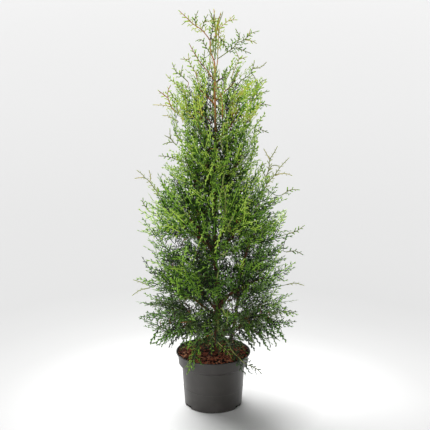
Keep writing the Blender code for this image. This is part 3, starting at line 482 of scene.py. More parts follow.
bump = add_node(tree, "ShaderNodeBump", {"Height": strips.outputs["Fac"], "Strength": 0.7,
                                         "Distance": 0.0006})
height = add_node(tree, "ShaderNodeSeparateXYZ", {"Vector": place})
young = add_node(tree, "ShaderNodeMapRange", {"Value": height.outputs["Z"], "From Min": YOUNG_BARK_HEIGHTS[0],
                                              "From Max": YOUNG_BARK_HEIGHTS[1], "To Max": 0.85})
aged = add_node(tree, "ShaderNodeMix", {"Factor": young.outputs["Result"], "A": mottled.outputs["Result"],
                                        "B": linear(YOUNG_BARK_HEX)}, data_type="RGBA")
tree.links.new(aged.outputs["Result"], shader.inputs["Base Color"])
tree.links.new(bump.outputs["Normal"], shader.inputs["Normal"])

TRUNK_LINE, SECOND_STEM_LINE, LEADER_LINE = map(stem_line, (TRUNK_PLACES, SECOND_STEM_PLACES, LEADER_PLACES))
for name, node, line, radii, flare in (
        ("trunk_bark", "trunk", TRUNK_LINE, TRUNK_RADII, FLARE),
        ("second_stem_bark", "second_stem", SECOND_STEM_LINE, SECOND_STEM_RADII, 0.4 * FLARE),
        ("right_leader_bark", "leader_right", LEADER_LINE, LEADER_RADII, 0.0)):
    points, faces = skin(limb_rings(line[None], radii, STEM_AROUND, flare=flare))
    stem = add_piece(name, points, faces, [fibrous_bark])
    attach(stem, "root")
    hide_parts(node)


# Boughs
# Side branches of the three lowest tiers, each one tapering limb that leaves the trunk and arches up and
# out to where its foliage starts. They have the trunk's bark.

AXIS_X = 0.006
# Height, reach of the crown to the left and to the right
CROWN_OUTLINE = np.array((
    (0.120, 0.150, 0.165),
    (0.175, 0.204, 0.212),
    (0.225, 0.220, 0.246),
    (0.330, 0.260, 0.270),
    (0.400, 0.238, 0.254),
    (0.500, 0.238, 0.274),
    (0.600, 0.230, 0.244),
    (0.690, 0.196, 0.200),
    (0.770, 0.143, 0.140),
    (0.860, 0.124, 0.142),
    (0.940, 0.140, 0.152),
    (0.990, 0.148, 0.150),
    (1.040, 0.100, 0.120),
    (1.100, 0.072, 0.090),
    (1.150, 0.050, 0.066),
    (1.196, 0.030, 0.040),
    (1.207, 0.000, 0.000),
))
ARCH_RISE, ARCH_RUN = 0.140, 0.120
BOUGH_STAGGER, BOUGH_REACH, GOLDEN_SHARE = 0.044, 0.36, 0.382
BOUGH_RADII, BOUGH_AROUND = (0.0044, 0.0034), 20
# Tiers: lowest and highest level at the trunk, masses, azimuth of the first in degrees, level of the limb
# at the trunk and of the stem's end, fronds a mass, longest frond, how steeply fronds rise, with a bough,
# with open fronds only
Tier = namedtuple("Tier", "name low high count turn root_level tip_level fronds frond rise bough open")
TIERS = (
    Tier("skirt", 0.045, 0.245, 6, 30, 0.205, 0.150, 54, 0.100, 0.00, True, False),
    Tier("lower", 0.245, 0.430, 5, 36, 0.295, 0.330, 60, 0.105, 0.40, True, False),
    Tier("middle", 0.430, 0.630, 6, 0, 0.485, 0.525, 58, 0.105, 0.60, True, False),
    Tier("upper", 0.630, 0.790, 5, 36, 0.665, 0.705, 52, 0.095, 0.75, False, False),
    Tier("high", 0.790, 0.930, 4, 45, 0.820, 0.860, 56, 0.085, 0.90, False, True),
    Tier("top", 0.930, 1.015, 4, 0, 0.950, 0.975, 7, 0.075, 1.00, False, True),
)
SECOND_STEM_MASS = "foliage_middle_1"
# The mass on the left of the top tier reaches higher, up to the left leader's own foliage
TALL_MASS, TALL_MASS_HIGH = "foliage_top_3", 1.060


def arch(radius):
    """How far a tier has risen at a radius: the full rise less what is left of it, which dies out with it."""
    return ARCH_RISE * (1 - np.exp(-radius / ARCH_RUN))


def crown_reach(azimuth, height):
    """The crown's reach: its left and right outlines blended by the cosine of the azimuth."""
    left = np.interp(height, CROWN_OUTLINE[:, 0], CROWN_OUTLINE[:, 1])
    right = np.interp(height, CROWN_OUTLINE[:, 0], CROWN_OUTLINE[:, 2])
    return (left + right) / 2 + (right - left) / 2 * np.cos(azimuth)


def crown_point(azimuth, radius, level):
    """The point at an azimuth and radius about the crown's middle line, risen by the arch from its level."""
    return np.stack(np.broadcast_arrays(AXIS_X + radius * np.cos(azimuth), radius * np.sin(azimuth),
                                        level + arch(radius)), axis=-1)


def limb_from_trunk(tier, number, azimuth):
    """Return the places of the limb that runs from the trunk towards a mass, its foot staggered by number."""
    level = tier.root_level + BOUGH_STAGGER * ((GOLDEN_SHARE * number) % 1.0 - 0.5)
    reach = BOUGH_REACH * crown_reach(azimuth, tier.tip_level + ARCH_RISE / 2)
    foot = [np.interp(level, TRUNK_LINE[:, 2], TRUNK_LINE[:, axis]) for axis in (0, 1)] + [level]
    return np.vstack([foot, crown_point(azimuth, reach * np.array((0.36, 0.68, 1.0)), level)])


Mass = namedtuple("Mass", "name azimuth half_angle low high tier limb")
masses = []
for tier in TIERS:
    for number in range(1, tier.count + 1):
        name = "foliage_%s_%d" % (tier.name, number)
        azimuth = math.radians(tier.turn + (number - 1) * 360 / tier.count)
        high = TALL_MASS_HIGH if name == TALL_MASS else tier.high
        limb = limb_from_trunk(tier, number, azimuth)
        masses.append(Mass(name, azimuth, math.pi / tier.count, tier.low, high, tier, limb))
bough_masses = [mass for mass in masses if mass.tier.bough and mass.name != SECOND_STEM_MASS]
bough_lines = [smooth_line(mass.limb, STEM_ROW) for mass in bough_masses]
parts = [skin(limb_rings(line[None], BOUGH_RADII, BOUGH_AROUND)) for line in bough_lines]
points, faces = joined(parts)
boughs = add_piece("bough_bark", points, faces, [fibrous_bark])
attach(boughs, "root")
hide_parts(*[mass.name.replace("foliage", "bough") for mass in bough_masses])


# Twigs
# Every mass of foliage has one stem from the end of its limb. Thin red-brown twigs fork from it, and from one
# another, and each carries a frond at its end.

STEM_STRAIGHT, STEM_REACH = 0.012, 0.64
STEM_RADII, YOUNG_STEM_RADII = (0.0030, 0.0016), (0.0020, 0.0011)
TWIG_RADII = (0.0012, 0.0009)
TWIG_AROUND, TWIG_POINTS, MASS_STEM_AROUND = 5, 5, 10
SKELETON_STEP = 0.010
SEED, TRIES = 1212, 64
# A try may lie this many times half its mass's space off the middle. Its tip's share of the reach gains a
# spread on the least, by a power of chance, and a runner's goes up to the farthest
SPACE_OVERLAP, SHARE_LEAST, SHARE_SPREAD, SHARE_POWER, SHARE_FARTHEST = 1.1, 0.22, 0.58, 0.75, 1.03
# What it costs a twig, in metres, to leave its limb less forwards than it should, and to be a fork farther on
BACKWARD_COST, FORWARD_ENOUGH, FORWARD_LEAST, FORK_COST = 0.08, 0.35, -0.2, 0.008
FROND_SHORTEST, FROND_SPREAD, RISE_SPREAD, ROLL_WIDEST = 0.62, 0.80, 0.50, 1.5
# Share of the fronds that run out past the others, and the share of the reach where they begin
RUNNERS, RUNNER_SHARE = 0.27, 0.83
# Share of the reach from which the two highest tiers have open fronds only
OPEN_SHARE = 0.35
# Reach that a full frond and an open one may stand past the crown's outline
FULL_SLACK, OPEN_SLACK = 0.002, 0.012
SKIRT_DROOP, DROOP_HEIGHT, DROOP_SHARE = 1.05, 0.265, 0.6
TWIG_LONGEST, TWIG_SHORTEST = 0.120, 0.004
OPEN_ENOUGH, LENGTH_WEIGHT, TWIG_WEIGHT = 0.030, 0.06, 0.12
LIMB_CLEAR, TRUNK_KEPT, LIMB_KEPT, LIMB_ROWS = 0.003, 0.006, 0.004, 4
POT_TOP, POT_CLEAR, FRONT_EDGE, FRONT_SLOPE = 0.176, 0.128, 0.188, 0.32
# The top of the trunk shows between the fronds in front of it: lowest height and half width of that gap
GAP_HEIGHT, GAP_HALF_WIDTH = 0.890, 0.016
# Places on a frond one unit long that have to stay within the crown, as (along, across)
FROND_SAMPLES = np.array(((0.05, 0.0), (0.45, 0.28), (0.45, -0.28), (0.75, 0.20), (0.75, -0.20), (1.0, 0.0)))


def limb_stretches(lines_and_radii):
    """Return the starts, ends and radii of all the straight stretches of limbs."""
    starts = np.vstack([line[:-1] for line, _ in lines_and_radii])
    ends = np.vstack([line[1:] for line, _ in lines_and_radii])
    radii = np.concatenate([np.full(len(line) - 1, radius) for line, radius in lines_and_radii])
    return starts, ends, radii


def clear_of_limbs(points, stretches):
    """Say which points, the last axis of an array, keep away from every stretch of limb."""
    starts, ends, radii = stretches
    flat = points.reshape(-1, 1, 3)
    along = ends - starts
    share = np.clip(((flat - starts) * along).sum(-1) / (along * along).sum(-1), 0, 1)
    away = np.linalg.norm(flat - (starts + share[..., None] * along), axis=-1)
    return (away > radii + LIMB_CLEAR).all(1).reshape(points.shape[:-1])


def within_crown(points, slack):
    """Say which points lie within the crown's outline, above its lower edge, and clear of pot and leader."""
    x, y, height = points[..., 0] - AXIS_X, points[..., 1], points[..., 2]
    reach = crown_reach(np.arctan2(y, x), height)
    over_pot = (height > POT_TOP) | (np.hypot(points[..., 0], y) > POT_CLEAR)
    before_leader = (height > GAP_HEIGHT) & (y < 0) & (np.abs(x) < GAP_HALF_WIDTH)
    return ((np.hypot(x, y) < reach + slack) & over_pot & ~before_leader
            & (height > FRONT_EDGE - FRONT_SLOPE * y - 0.1 * (y > 0)))


def frond_frame(direction, roll):
    """Return the vectors across and square to fronds: level ones, turned about the frond by its roll."""
    level = unit(np.cross(direction, (0.0, 0.0, 1.0)))
    square = np.cross(direction, level)
    cos, sin = np.cos(roll)[..., None], np.sin(roll)[..., None]
    return level * cos + square * sin, square * cos - level * sin


def mass_stem(mass):
    """Return the centre line of a mass's stem: straight on from its limb, then out to a share of the reach."""
    tier = mass.tier
    line = SECOND_STEM_LINE if mass.name == SECOND_STEM_MASS else mass.limb
    first = line[-1] + STEM_STRAIGHT * unit(line[-1] - line[-2])
    first_radius = math.hypot(first[0] - AXIS_X, first[1])
    end_radius = STEM_REACH * crown_reach(mass.azimuth, tier.tip_level + arch(ARCH_RUN))
    share = np.array((0.33, 0.67, 1.0))
    radius = first_radius + share * (end_radius - first_radius)
    first_level = first[2] - arch(first_radius)
    level = first_level + share * (tier.tip_level - first_level)
    outer = crown_point(mass.azimuth, radius, level)
    inner = mass.limb[:-1] if not tier.bough else np.empty((0, 3))
    return smooth_line(np.vstack([inner, line[-1], first, outer]), SKELETON_STEP)


# Full fronds fill the crown, open ones make its rim, narrow ones hang from its lower edge like spikes, and
# single fingers stand on the shoots
FULL, OPEN, NARROW, FINGER = range(4)
# Leaf tints, each for the inner and the outer part of a frond. SHADE, the darkest, is painted shade
SHADE, DARK, MID, FRESH, LIME, YELLOW, WEATHERED, PALE = range(8)
AUTOMATIC = -1
# A frond of the crown: its tier and form, its root, directions, length, share of the reach, and its leaf tint
Frond = namedtuple("Frond", "tier form root direction across square length share tint")


def grow_mass(mass, stem, grown, middles, twigs, rng):
    """Grow a mass's fronds one by one, each the best of some tries at a random place of its space.

    A try takes a random azimuth, level and share of the reach for the frond's tip. It fits if its samples
    stay within the crown and clear of the limbs, and a twig can reach its root forwards from the skeleton.
    The best try is the farthest from the other fronds, with credit for its length and for a short twig.
    """
    tier = mass.tier
    skeleton, heading = stem, unit(np.gradient(stem, axis=0))
    order = np.zeros(len(stem), int)
    each = np.arange(TRIES)
    for _ in range(tier.fronds):
        azimuth = mass.azimuth + mass.half_angle * rng.uniform(-SPACE_OVERLAP, SPACE_OVERLAP, TRIES)
        level = rng.uniform(mass.low, mass.high, TRIES)
        share = SHARE_LEAST + SHARE_SPREAD * rng.uniform(0, 1, TRIES) ** SHARE_POWER
        runner = rng.uniform(0, 1, TRIES) < RUNNERS
        share = np.where(runner, rng.uniform(RUNNER_SHARE, SHARE_FARTHEST, TRIES), share)
        tip = crown_point(azimuth, share * crown_reach(azimuth, level + arch(ARCH_RUN)), level)
        length = tier.frond * rng.uniform(FROND_SHORTEST, 1.0, TRIES)
        turn = azimuth + rng.uniform(-FROND_SPREAD, FROND_SPREAD, TRIES) * (1.6 - share)
        rise = tier.rise + rng.uniform(-RISE_SPREAD, RISE_SPREAD, TRIES) + 0.5 * (1 - share)
        droops = (share > DROOP_SHARE) & (tip[:, 2] < DROOP_HEIGHT)
        rise = rise - SKIRT_DROOP * droops
        direction = np.stack([np.cos(rise) * np.cos(turn), np.cos(rise) * np.sin(turn), np.sin(rise)], -1)
        root = tip - length[:, None] * direction
        across, square = frond_frame(direction, rng.uniform(-ROLL_WIDEST, ROLL_WIDEST, TRIES))
        samples = (root[:, None] + length[:, None, None] * (FROND_SAMPLES[:, :1] * direction[:, None]
                   + FROND_SAMPLES[:, 1:] * across[:, None]))
        gap = root[:, None] - skeleton
        distance = np.linalg.norm(gap, axis=-1)
        forward = (gap * heading).sum(-1) / np.maximum(distance, 1e-9)
        backward = np.clip(FORWARD_ENOUGH - forward, 0, 1)
        foot = (distance + BACKWARD_COST * backward + FORK_COST * order).argmin(1)
        twig = distance[each, foot]
        slack = np.where(runner, OPEN_SLACK, FULL_SLACK)[:, None]
        fits = (within_crown(samples, slack).all(1) & clear_of_limbs(samples, stretches).all(1)
                & (twig < TWIG_LONGEST) & (forward[each, foot] > FORWARD_LEAST))
        middle = root + 0.6 * length[:, None] * direction
        away = np.full(TRIES, OPEN_ENOUGH)
        if middles:
            away = np.minimum(away, np.linalg.norm(middle[:, None] - np.array(middles), axis=-1).min(1))
        score = np.where(fits, away + LENGTH_WEIGHT * length - TWIG_WEIGHT * twig, -1.0)
        best = int(score.argmax())
        if score[best] < 0:
            continue
        start, end, reach = skeleton[foot[best]], root[best], twig[best]
        if reach > TWIG_SHORTEST:
            bend = start + 0.5 * reach * unit(0.5 * heading[foot[best]] + unit(end - start))
            twigs.append((start, bend, end))
            way = np.linspace(0.2, 1, max(2, int(reach / SKELETON_STEP)))[:, None]
            line = bent(start, bend, end, way)
            skeleton = np.vstack([skeleton, line])
            heading = np.vstack([heading, unit(np.gradient(line, axis=0))])
            order = np.concatenate([order, np.full(len(line), order[foot[best]] + 1)])
        middles.append(middle[best])
        opens = runner[best] or (tier.open and share[best] > OPEN_SHARE)
        form = NARROW if droops[best] else OPEN if opens else FULL
        grown.append(Frond(tier.name, form, root[best], direction[best], across[best], square[best],
                           length[best], share[best], AUTOMATIC))
    return skeleton


rng = np.random.default_rng(SEED)
stretches = limb_stretches([(TRUNK_LINE[::LIMB_ROWS], TRUNK_KEPT)]
                           + [(line[::LIMB_ROWS], LIMB_KEPT) for line in [SECOND_STEM_LINE] + bough_lines])
mass_stems = [mass_stem(mass) for mass in masses]
fronds, middles, twigs = [], [], []
skeletons = [grow_mass(mass, stem, fronds, middles, twigs, rng) for mass, stem in zip(masses, mass_stems)]


# Long shoots
# The last summer's growth stands out of the crown in thin knobbly shoots, olive or straw-coloured, with short
# sprigs left and right in turn. Two of them carry on the leaders, and some hang over the pot.

SHOOT_RADII, SHOOT_AROUND, SHOOT_POINTS = (0.0016, 0.0010), 5, 9
SPRIG_START, SPRIG_PITCH, SPRIG_ANGLE = 0.22, 0.0075, 0.85
SPRIG_SHORTEST, SPRIG_LONGEST, SPRIG_GROWTH, SPRIG_END, PLAIN_SPRIG = 0.007, 0.026, 0.19, 0.009, 0.016
LINK_LONGEST, LINK_SHORTEST, HANGING_LIFT = 0.090, 0.0015, 0.006
# Wood tints: old red-brown, orange-brown, green under scale leaves, green-brown, straw
RED, ORANGE, LEAFY, OLIVE, STRAW = range(5)
# The camera of the photo, fitted to the ellipses of the pot's lip and base: its place, how many degrees it
# looks down, its focal length and the photo's width in the photo's pixels
CAMERA_PLACE, CAMERA_PITCH, CAMERA_FOCAL_PIXELS, IMAGE_PIXELS = (0.0053, -3.0, 1.353), 14.03, 1032, 430


def from_photo(pixels, y):
    """Return the places that the photo shows at some pixels (column, row), with their y given.

    With column and row counted from the photo's middle and f the focal length in pixels, the ray through a
    row falls by pitch + atan(row / f), which gives z. The depth along the camera's axis times column / f
    gives x.
    """
    column, row = np.array(pixels, dtype=float).T - IMAGE_PIXELS / 2
    pitch = math.radians(CAMERA_PITCH)
    away = np.zeros(len(row)) + y - CAMERA_PLACE[1]
    z = CAMERA_PLACE[2] - away * np.tan(pitch + np.arctan(row / CAMERA_FOCAL_PIXELS))
    depth = away * math.cos(pitch) + (CAMERA_PLACE[2] - z) * math.sin(pitch)
    x = CAMERA_PLACE[0] + column / CAMERA_FOCAL_PIXELS * depth
    return np.stack([x, away + CAMERA_PLACE[1], z], axis=-1)


def seen(*pixels, y=0.0):
    """Return the places (x, z) of pixels (column, row) read off the photo along a shoot, at one y."""
    return tuple(map(tuple, from_photo(pixels, y)[:, (0, 2)]))


# Each shoot: its tier, tints of its wood and leaves, how far it turns round the crown in copies that finish
# the hidden sides, its y at root and tip, and its places as (x, z)
Shoot = namedtuple("Shoot", "tier wood leaf turns depths places")
ONCE, BEHIND, ROUND, BOTH_SIDES = (0.0,), (0.0, 1.75), (0.0, 1.75, -1.50), (0.0, 1.60, -1.65)
SHOOTS = (
    # The left leader and its forks
    Shoot("tips", RED, LIME, ONCE, (0.0, 0.0),
          ((-0.009, 1.120),) + seen((211.2, 35.4), (212.7, 27.8), (213.6, 17.2), (214.1, 14.4))),
    Shoot("tips", ORANGE, YELLOW, BOTH_SIDES, (0.0, -0.012),
          ((-0.009, 1.122),) + seen((201.7, 29.7), (192.1, 23.0), (186.4, 17.2), (179.7, 11.0))),
    Shoot("tips", OLIVE, LIME, ONCE, (-0.005, 0.010), seen((192.1, 23.0), (188.3, 20.6), (182.5, 24.4))),
    Shoot("tips", OLIVE, FRESH, BOTH_SIDES, (0.0, 0.015), seen((201.7, 29.7), (205.5, 19.1), (207.9, 14.8))),
    Shoot("tips", OLIVE, FRESH, BOTH_SIDES, (-0.004, -0.020),
          seen((195.9, 25.8), (195.0, 19.1), (197.8, 11.5))),
    Shoot("tips", STRAW, LIME, ONCE, (0.008, 0.016), seen((203.6, 22.5), (211.2, 20.6))),
    # The right leader and its forks
    Shoot("tips", STRAW, YELLOW, ONCE, (-0.001, 0.010),
          ((0.013, 1.066),) + seen((218.0, 46.0), (218.9, 36.4), (218.4, 32.5), (220.3, 27.8), (224.6, 23.9),
                                   (229.4, 20.1), (233.3, 16.3))),
    Shoot("tips", STRAW, LIME, BOTH_SIDES, (0.008, -0.010), seen((229.4, 20.1), (236.6, 19.6))),
    Shoot("tips", STRAW, YELLOW, ONCE, (0.0, 0.006), seen((218.4, 32.5), (217.5, 24.0))),
    Shoot("tips", STRAW, YELLOW, BOTH_SIDES, (0.0, -0.012), seen((218.9, 30.5), (220.8, 24.0))),
    Shoot("tips", OLIVE, FRESH, BOTH_SIDES, (0.0, 0.014),
          ((0.013, 1.068),) + seen((222.7, 55.5), (229.4, 50.7), (235.2, 46.9), (237.6, 42.1), (245.7, 40.2),
                                   (248.6, 35.4), (251.4, 33.5), (258.1, 31.6))),
    Shoot("tips", OLIVE, FRESH, ONCE, (0.004, -0.010), seen((237.6, 42.1), (239.5, 37.3), (236.1, 29.7))),
    Shoot("tips", STRAW, LIME, ONCE, (0.006, 0.012), seen((245.7, 40.2), (251.4, 41.1), (256.2, 43.5))),
    Shoot("tips", STRAW, LIME, ONCE, (0.008, 0.0), seen((248.6, 35.4), (250.5, 29.7))),
    Shoot("tips", OLIVE, MID, BOTH_SIDES, (0.002, -0.012), seen((235.2, 46.9), (241.9, 49.8), (249.5, 52.6))),
    Shoot("tips", OLIVE, FRESH, BOTH_SIDES, (0.0, -0.018), ((0.017, 1.132), (0.027, 1.120), (0.035, 1.103),
                                                        (0.040, 1.090))),
    # The left of the top, from the leader outwards and down
    Shoot("top", ORANGE, LIME, ONCE, (0.0, -0.010),
          ((0.003, 1.006),) + seen((207.4, 70.8), (202.6, 65.1), (195.9, 55.5), (191.1, 46.9),
                                   (189.7, 44.0))),
    Shoot("top", OLIVE, FRESH, ONCE, (-0.006, 0.015), seen((202.6, 65.1), (203.6, 61.2), (204.5, 51.7))),
    Shoot("top", OLIVE, FRESH, ONCE, (0.0, 0.010),
          ((-0.004, 1.080),) + seen((206.5, 47.8), (199.8, 39.2), (196.9, 41.1))),
    Shoot("top", STRAW, LIME, BEHIND, (0.012, 0.025), seen((197.5, 75.6), (189.2, 62.2), (188.3, 55.5))),
    Shoot("top", STRAW, LIME, ONCE, (0.018, 0.004), seen((188.3, 60.0), (181.6, 59.3))),
    Shoot("top", OLIVE, LIME, ROUND, (-0.010, -0.022),
          seen((187.7, 81.0), (181.0, 74.7), (176.5, 71.2), (172.9, 63.1))),
    Shoot("top", OLIVE, LIME, ONCE, (-0.016, -0.004), seen((181.0, 74.7), (182.5, 66.3))),
    Shoot("top", STRAW, LIME, ROUND, (0.010, 0.024),
          seen((187.7, 95.7), (179.6, 89.0), (175.2, 84.1), (170.7, 80.5), (166.3, 76.1))),
    Shoot("top", OLIVE, LIME, ROUND, (-0.020, -0.034), seen((177.0, 100.2), (173.4, 95.3), (170.7, 90.4))),
    Shoot("top", ORANGE, YELLOW, ROUND, (0.0, 0.010),
          seen((177.9, 113.6), (173.4, 109.6), (169.8, 103.8), (168.0, 98.4), (167.6, 93.0), (168.9, 88.6),
               (170.3, 86.3))),
    Shoot("top", ORANGE, YELLOW, ONCE, (0.004, -0.008), seen((167.1, 97.5), (161.8, 93.0), (159.1, 90.8))),
    Shoot("top", STRAW, PALE, ONCE, (0.002, 0.014),
          seen((169.8, 106.9), (166.3, 106.0), (160.0, 105.5), (153.8, 105.5))),
    Shoot("high", STRAW, PALE, ROUND, (0.0, -0.010),
          seen((177.9, 121.2), (171.6, 117.6), (167.6, 115.4), (164.0, 115.1))),
    Shoot("high", ORANGE, LIME, ONCE, (-0.020, -0.075), ((-0.004, 0.885), (-0.035, 0.915), (-0.062, 0.936))),
    # The right of the top
    Shoot("top", RED, FRESH, ONCE, (0.0, 0.012), ((0.006, 0.998),) + seen((222.7, 77.5)) + ((0.040, 1.040),)),
    Shoot("top", STRAW, LIME, BEHIND, (0.012, 0.0),
          seen((231.3, 79.4), (233.3, 72.7), (236.1, 66.0), (239.0, 59.3), (236.1, 51.7))),
    Shoot("top", STRAW, LIME, ONCE, (0.004, 0.014), seen((239.0, 59.3), (246.7, 57.4))),
    Shoot("top", OLIVE, LIME, ROUND, (-0.012, -0.004),
          seen((236.1, 86.1), (241.9, 79.4), (249.5, 74.6), (252.4, 68.9), (254.3, 61.2))),
    Shoot("top", OLIVE, PALE, ONCE, (-0.006, 0.008), seen((252.9, 68.4), (261.0, 67.0), (265.8, 63.2))),
    Shoot("top", OLIVE, LIME, ONCE, (-0.008, -0.020), seen((254.3, 76.6), (256.2, 82.3), (256.2, 91.9))),
    Shoot("top", OLIVE, LIME, ROUND, (0.010, 0.020), seen((254.3, 89.0), (260.0, 83.3), (265.8, 80.4))),
    Shoot("high", OLIVE, FRESH, ROUND, (0.0, 0.012), seen((254.3, 103.3), (260.0, 93.8), (268.7, 91.9))),
    Shoot("high", OLIVE, FRESH, ROUND, (-0.010, -0.024),
          seen((250.5, 112.9), (262.0, 103.3), (269.6, 104.3))),
    Shoot("high", OLIVE, MID, ROUND, (0.0, 0.010), seen((255.3, 132.0), (260.0, 130.1), (267.7, 133.0))),
    # The left side below the top
    Shoot("upper", OLIVE, FRESH, ROUND, (0.0, -0.010), seen((186.1, 162.7), (165.2, 156.0), (160.1, 155.3))),
    Shoot("high", OLIVE, PALE, ROUND, (0.0, 0.010), seen((174.9, 143.8), (170.8, 138.7), (169.8, 130.0))),
    Shoot("high", OLIVE, PALE, ONCE, (0.004, -0.006), seen((170.8, 138.7), (165.7, 135.6))),
    Shoot("high", OLIVE, FRESH, ONCE, (0.0, 0.006), seen((172.3, 142.2), (167.8, 142.8), (163.7, 144.5))),
    Shoot("middle", OLIVE, PALE, ROUND, (0.0, 0.016),
          seen((162.7, 201.4), (158.6, 194.3), (151.9, 185.1), (149.9, 182.0), (146.8, 180.5), (144.3, 178.0),
               (141.7, 175.0), (137.5, 172.0))),
    Shoot("middle", STRAW, PALE, ONCE, (0.010, 0.0), seen((143.3, 178.0), (136.1, 178.2))),
    Shoot("middle", STRAW, PALE, ONCE, (0.006, -0.010), seen((149.9, 182.0), (150.4, 174.9), (149.6, 170.8))),
    Shoot("middle", OLIVE, FRESH, ROUND, (0.0, -0.012), seen((147.9, 209.6), (143.3, 202.4), (143.3, 198.4))),
    Shoot("lower", OLIVE, PALE, ROUND, (-0.010, 0.0), ((-0.195, 0.385), (-0.220, 0.394), (-0.240, 0.399))),
    Shoot("lower", OLIVE, PALE, ROUND, (0.0, 0.012), ((-0.195, 0.374), (-0.222, 0.366), (-0.246, 0.348))),
    # The right side below the top
    Shoot("middle", OLIVE, PALE, ROUND, (0.0, 0.010),
          seen((260.3, 198.5), (261.8, 193.9), (264.9, 189.3), (266.9, 183.7), (271.5, 179.1), (275.6, 174.5),
               (279.7, 168.4), (284.3, 163.5), (288.4, 159.2))),
    Shoot("middle", STRAW, PALE, ONCE, (0.006, -0.010),
          seen((275.6, 176.0), (280.7, 173.7), (285.3, 173.2), (290.9, 174.5))),
    Shoot("middle", OLIVE, PALE, ONCE, (0.003, 0.018),
          seen((266.9, 183.7), (265.9, 178.6), (268.2, 174.5), (271.5, 173.0))),
    Shoot("middle", OLIVE, PALE, ONCE, (0.004, -0.010),
          seen((266.5, 178.0), (268.2, 171.4), (269.0, 168.4), (269.7, 159.2), (273.6, 153.0),
               (276.8, 146.7))),
    Shoot("middle", STRAW, PALE, ONCE, (-0.008, 0.004), seen((269.7, 159.2), (264.4, 150.0))),
    Shoot("middle", OLIVE, PALE, ONCE, (-0.002, 0.014), seen((268.2, 171.4), (272.6, 165.8), (278.7, 166.8))),
    Shoot("middle", OLIVE, FRESH, ONCE, (0.004, -0.016),
          seen((265.4, 176.5), (262.3, 169.9), (261.8, 164.8), (264.9, 162.8))),
    Shoot("middle", OLIVE, FRESH, ROUND, (0.0, -0.010), ((0.205, 0.665), (0.232, 0.682), (0.253, 0.683))),
    Shoot("middle", OLIVE, FRESH, ROUND, (0.0, 0.014), ((0.225, 0.545), (0.252, 0.552), (0.273, 0.566))),
    Shoot("middle", OLIVE, MID, ROUND, (-0.006, -0.014), ((0.220, 0.490), (0.248, 0.494), (0.268, 0.485))),
    Shoot("lower", OLIVE, PALE, ROUND, (0.0, 0.010), ((0.225, 0.385), (0.250, 0.388), (0.274, 0.380))),
    # Sprays that hang over the pot and before the foot of the trunk
    Shoot("skirt", STRAW, FRESH, ONCE, (-0.055, -0.062),
          ((-0.012, 0.262),) + seen((211.6, 335.0), (214.8, 339.9), (220.2, 344.7), (225.6, 349.5),
                                    (229.3, 353.3), (230.9, 357.0), y=-0.06)),
    Shoot("skirt", OLIVE, YELLOW, ONCE, (-0.056, -0.068),
          ((-0.008, 0.240), (-0.024, 0.236), (-0.034, 0.226))),
    Shoot("skirt", LEAFY, FRESH, ONCE, (-0.057, -0.070),
          ((-0.004, 0.230),) + seen((211.6, 344.7), (211.6, 351.7), y=-0.06)),
    Shoot("skirt", LEAFY, FRESH, ONCE, (-0.070, -0.112),
          ((-0.030, 0.235), (-0.052, 0.203)) + seen((195.0, 357.0), (190.2, 364.5), (187.5, 371.5), y=-0.10)),
    Shoot("skirt", OLIVE, DARK, ONCE, (-0.078, -0.100),
          ((0.048, 0.222),) + seen((230.9, 350.0), (237.9, 357.0), (246.5, 364.5), (255.6, 367.2),
                                   (260.6, 371.6), y=-0.09)),
)
# Whole fronds that hang there and before the trunk: form, leaf tint, root and tip. Those in SHADE and DARK
# tints paint the shade under the crown
HANGING_FRONDS = (
    (NARROW, FRESH, (-0.054, -0.092, 0.206), (-0.081, -0.113, 0.142)),
    (NARROW, MID, (-0.056, -0.098, 0.200), (-0.058, -0.114, 0.152)),
    (OPEN, MID, (-0.052, -0.096, 0.196), (-0.036, -0.110, 0.164)),
    (OPEN, FRESH, (-0.060, -0.100, 0.184), (-0.088, -0.112, 0.160)),
    (FULL, MID, (-0.046, -0.058, 0.222), (-0.058, -0.078, 0.180)),
    (OPEN, FRESH, (-0.058, -0.050, 0.226), (-0.075, -0.066, 0.196)),
    (FULL, SHADE, (-0.018, -0.030, 0.240), (-0.030, -0.056, 0.176)),
    (FULL, DARK, (-0.026, -0.026, 0.236), (-0.046, -0.040, 0.186)),
    (FULL, SHADE, (0.004, -0.034, 0.248), (-0.008, -0.062, 0.190)),
    (FULL, DARK, (0.014, -0.032, 0.244), (0.020, -0.058, 0.188)),
    (FULL, SHADE, (0.030, -0.030, 0.240), (0.040, -0.050, 0.182)),
    (FULL, DARK, (0.060, -0.040, 0.246), (0.076, -0.058, 0.190)),
    (FULL, DARK, (0.054, -0.056, 0.234), (0.062, -0.084, 0.180)),
    (FULL, MID, (0.078, -0.044, 0.234), (0.098, -0.062, 0.192)),
    (FULL, DARK, (0.072, -0.090, 0.189), (0.086, -0.108, 0.142)),
    (OPEN, DARK, (0.098, -0.092, 0.163), (0.106, -0.104, 0.136)),
    (OPEN, DARK, (0.120, -0.096, 0.155), (0.128, -0.104, 0.134)),
)
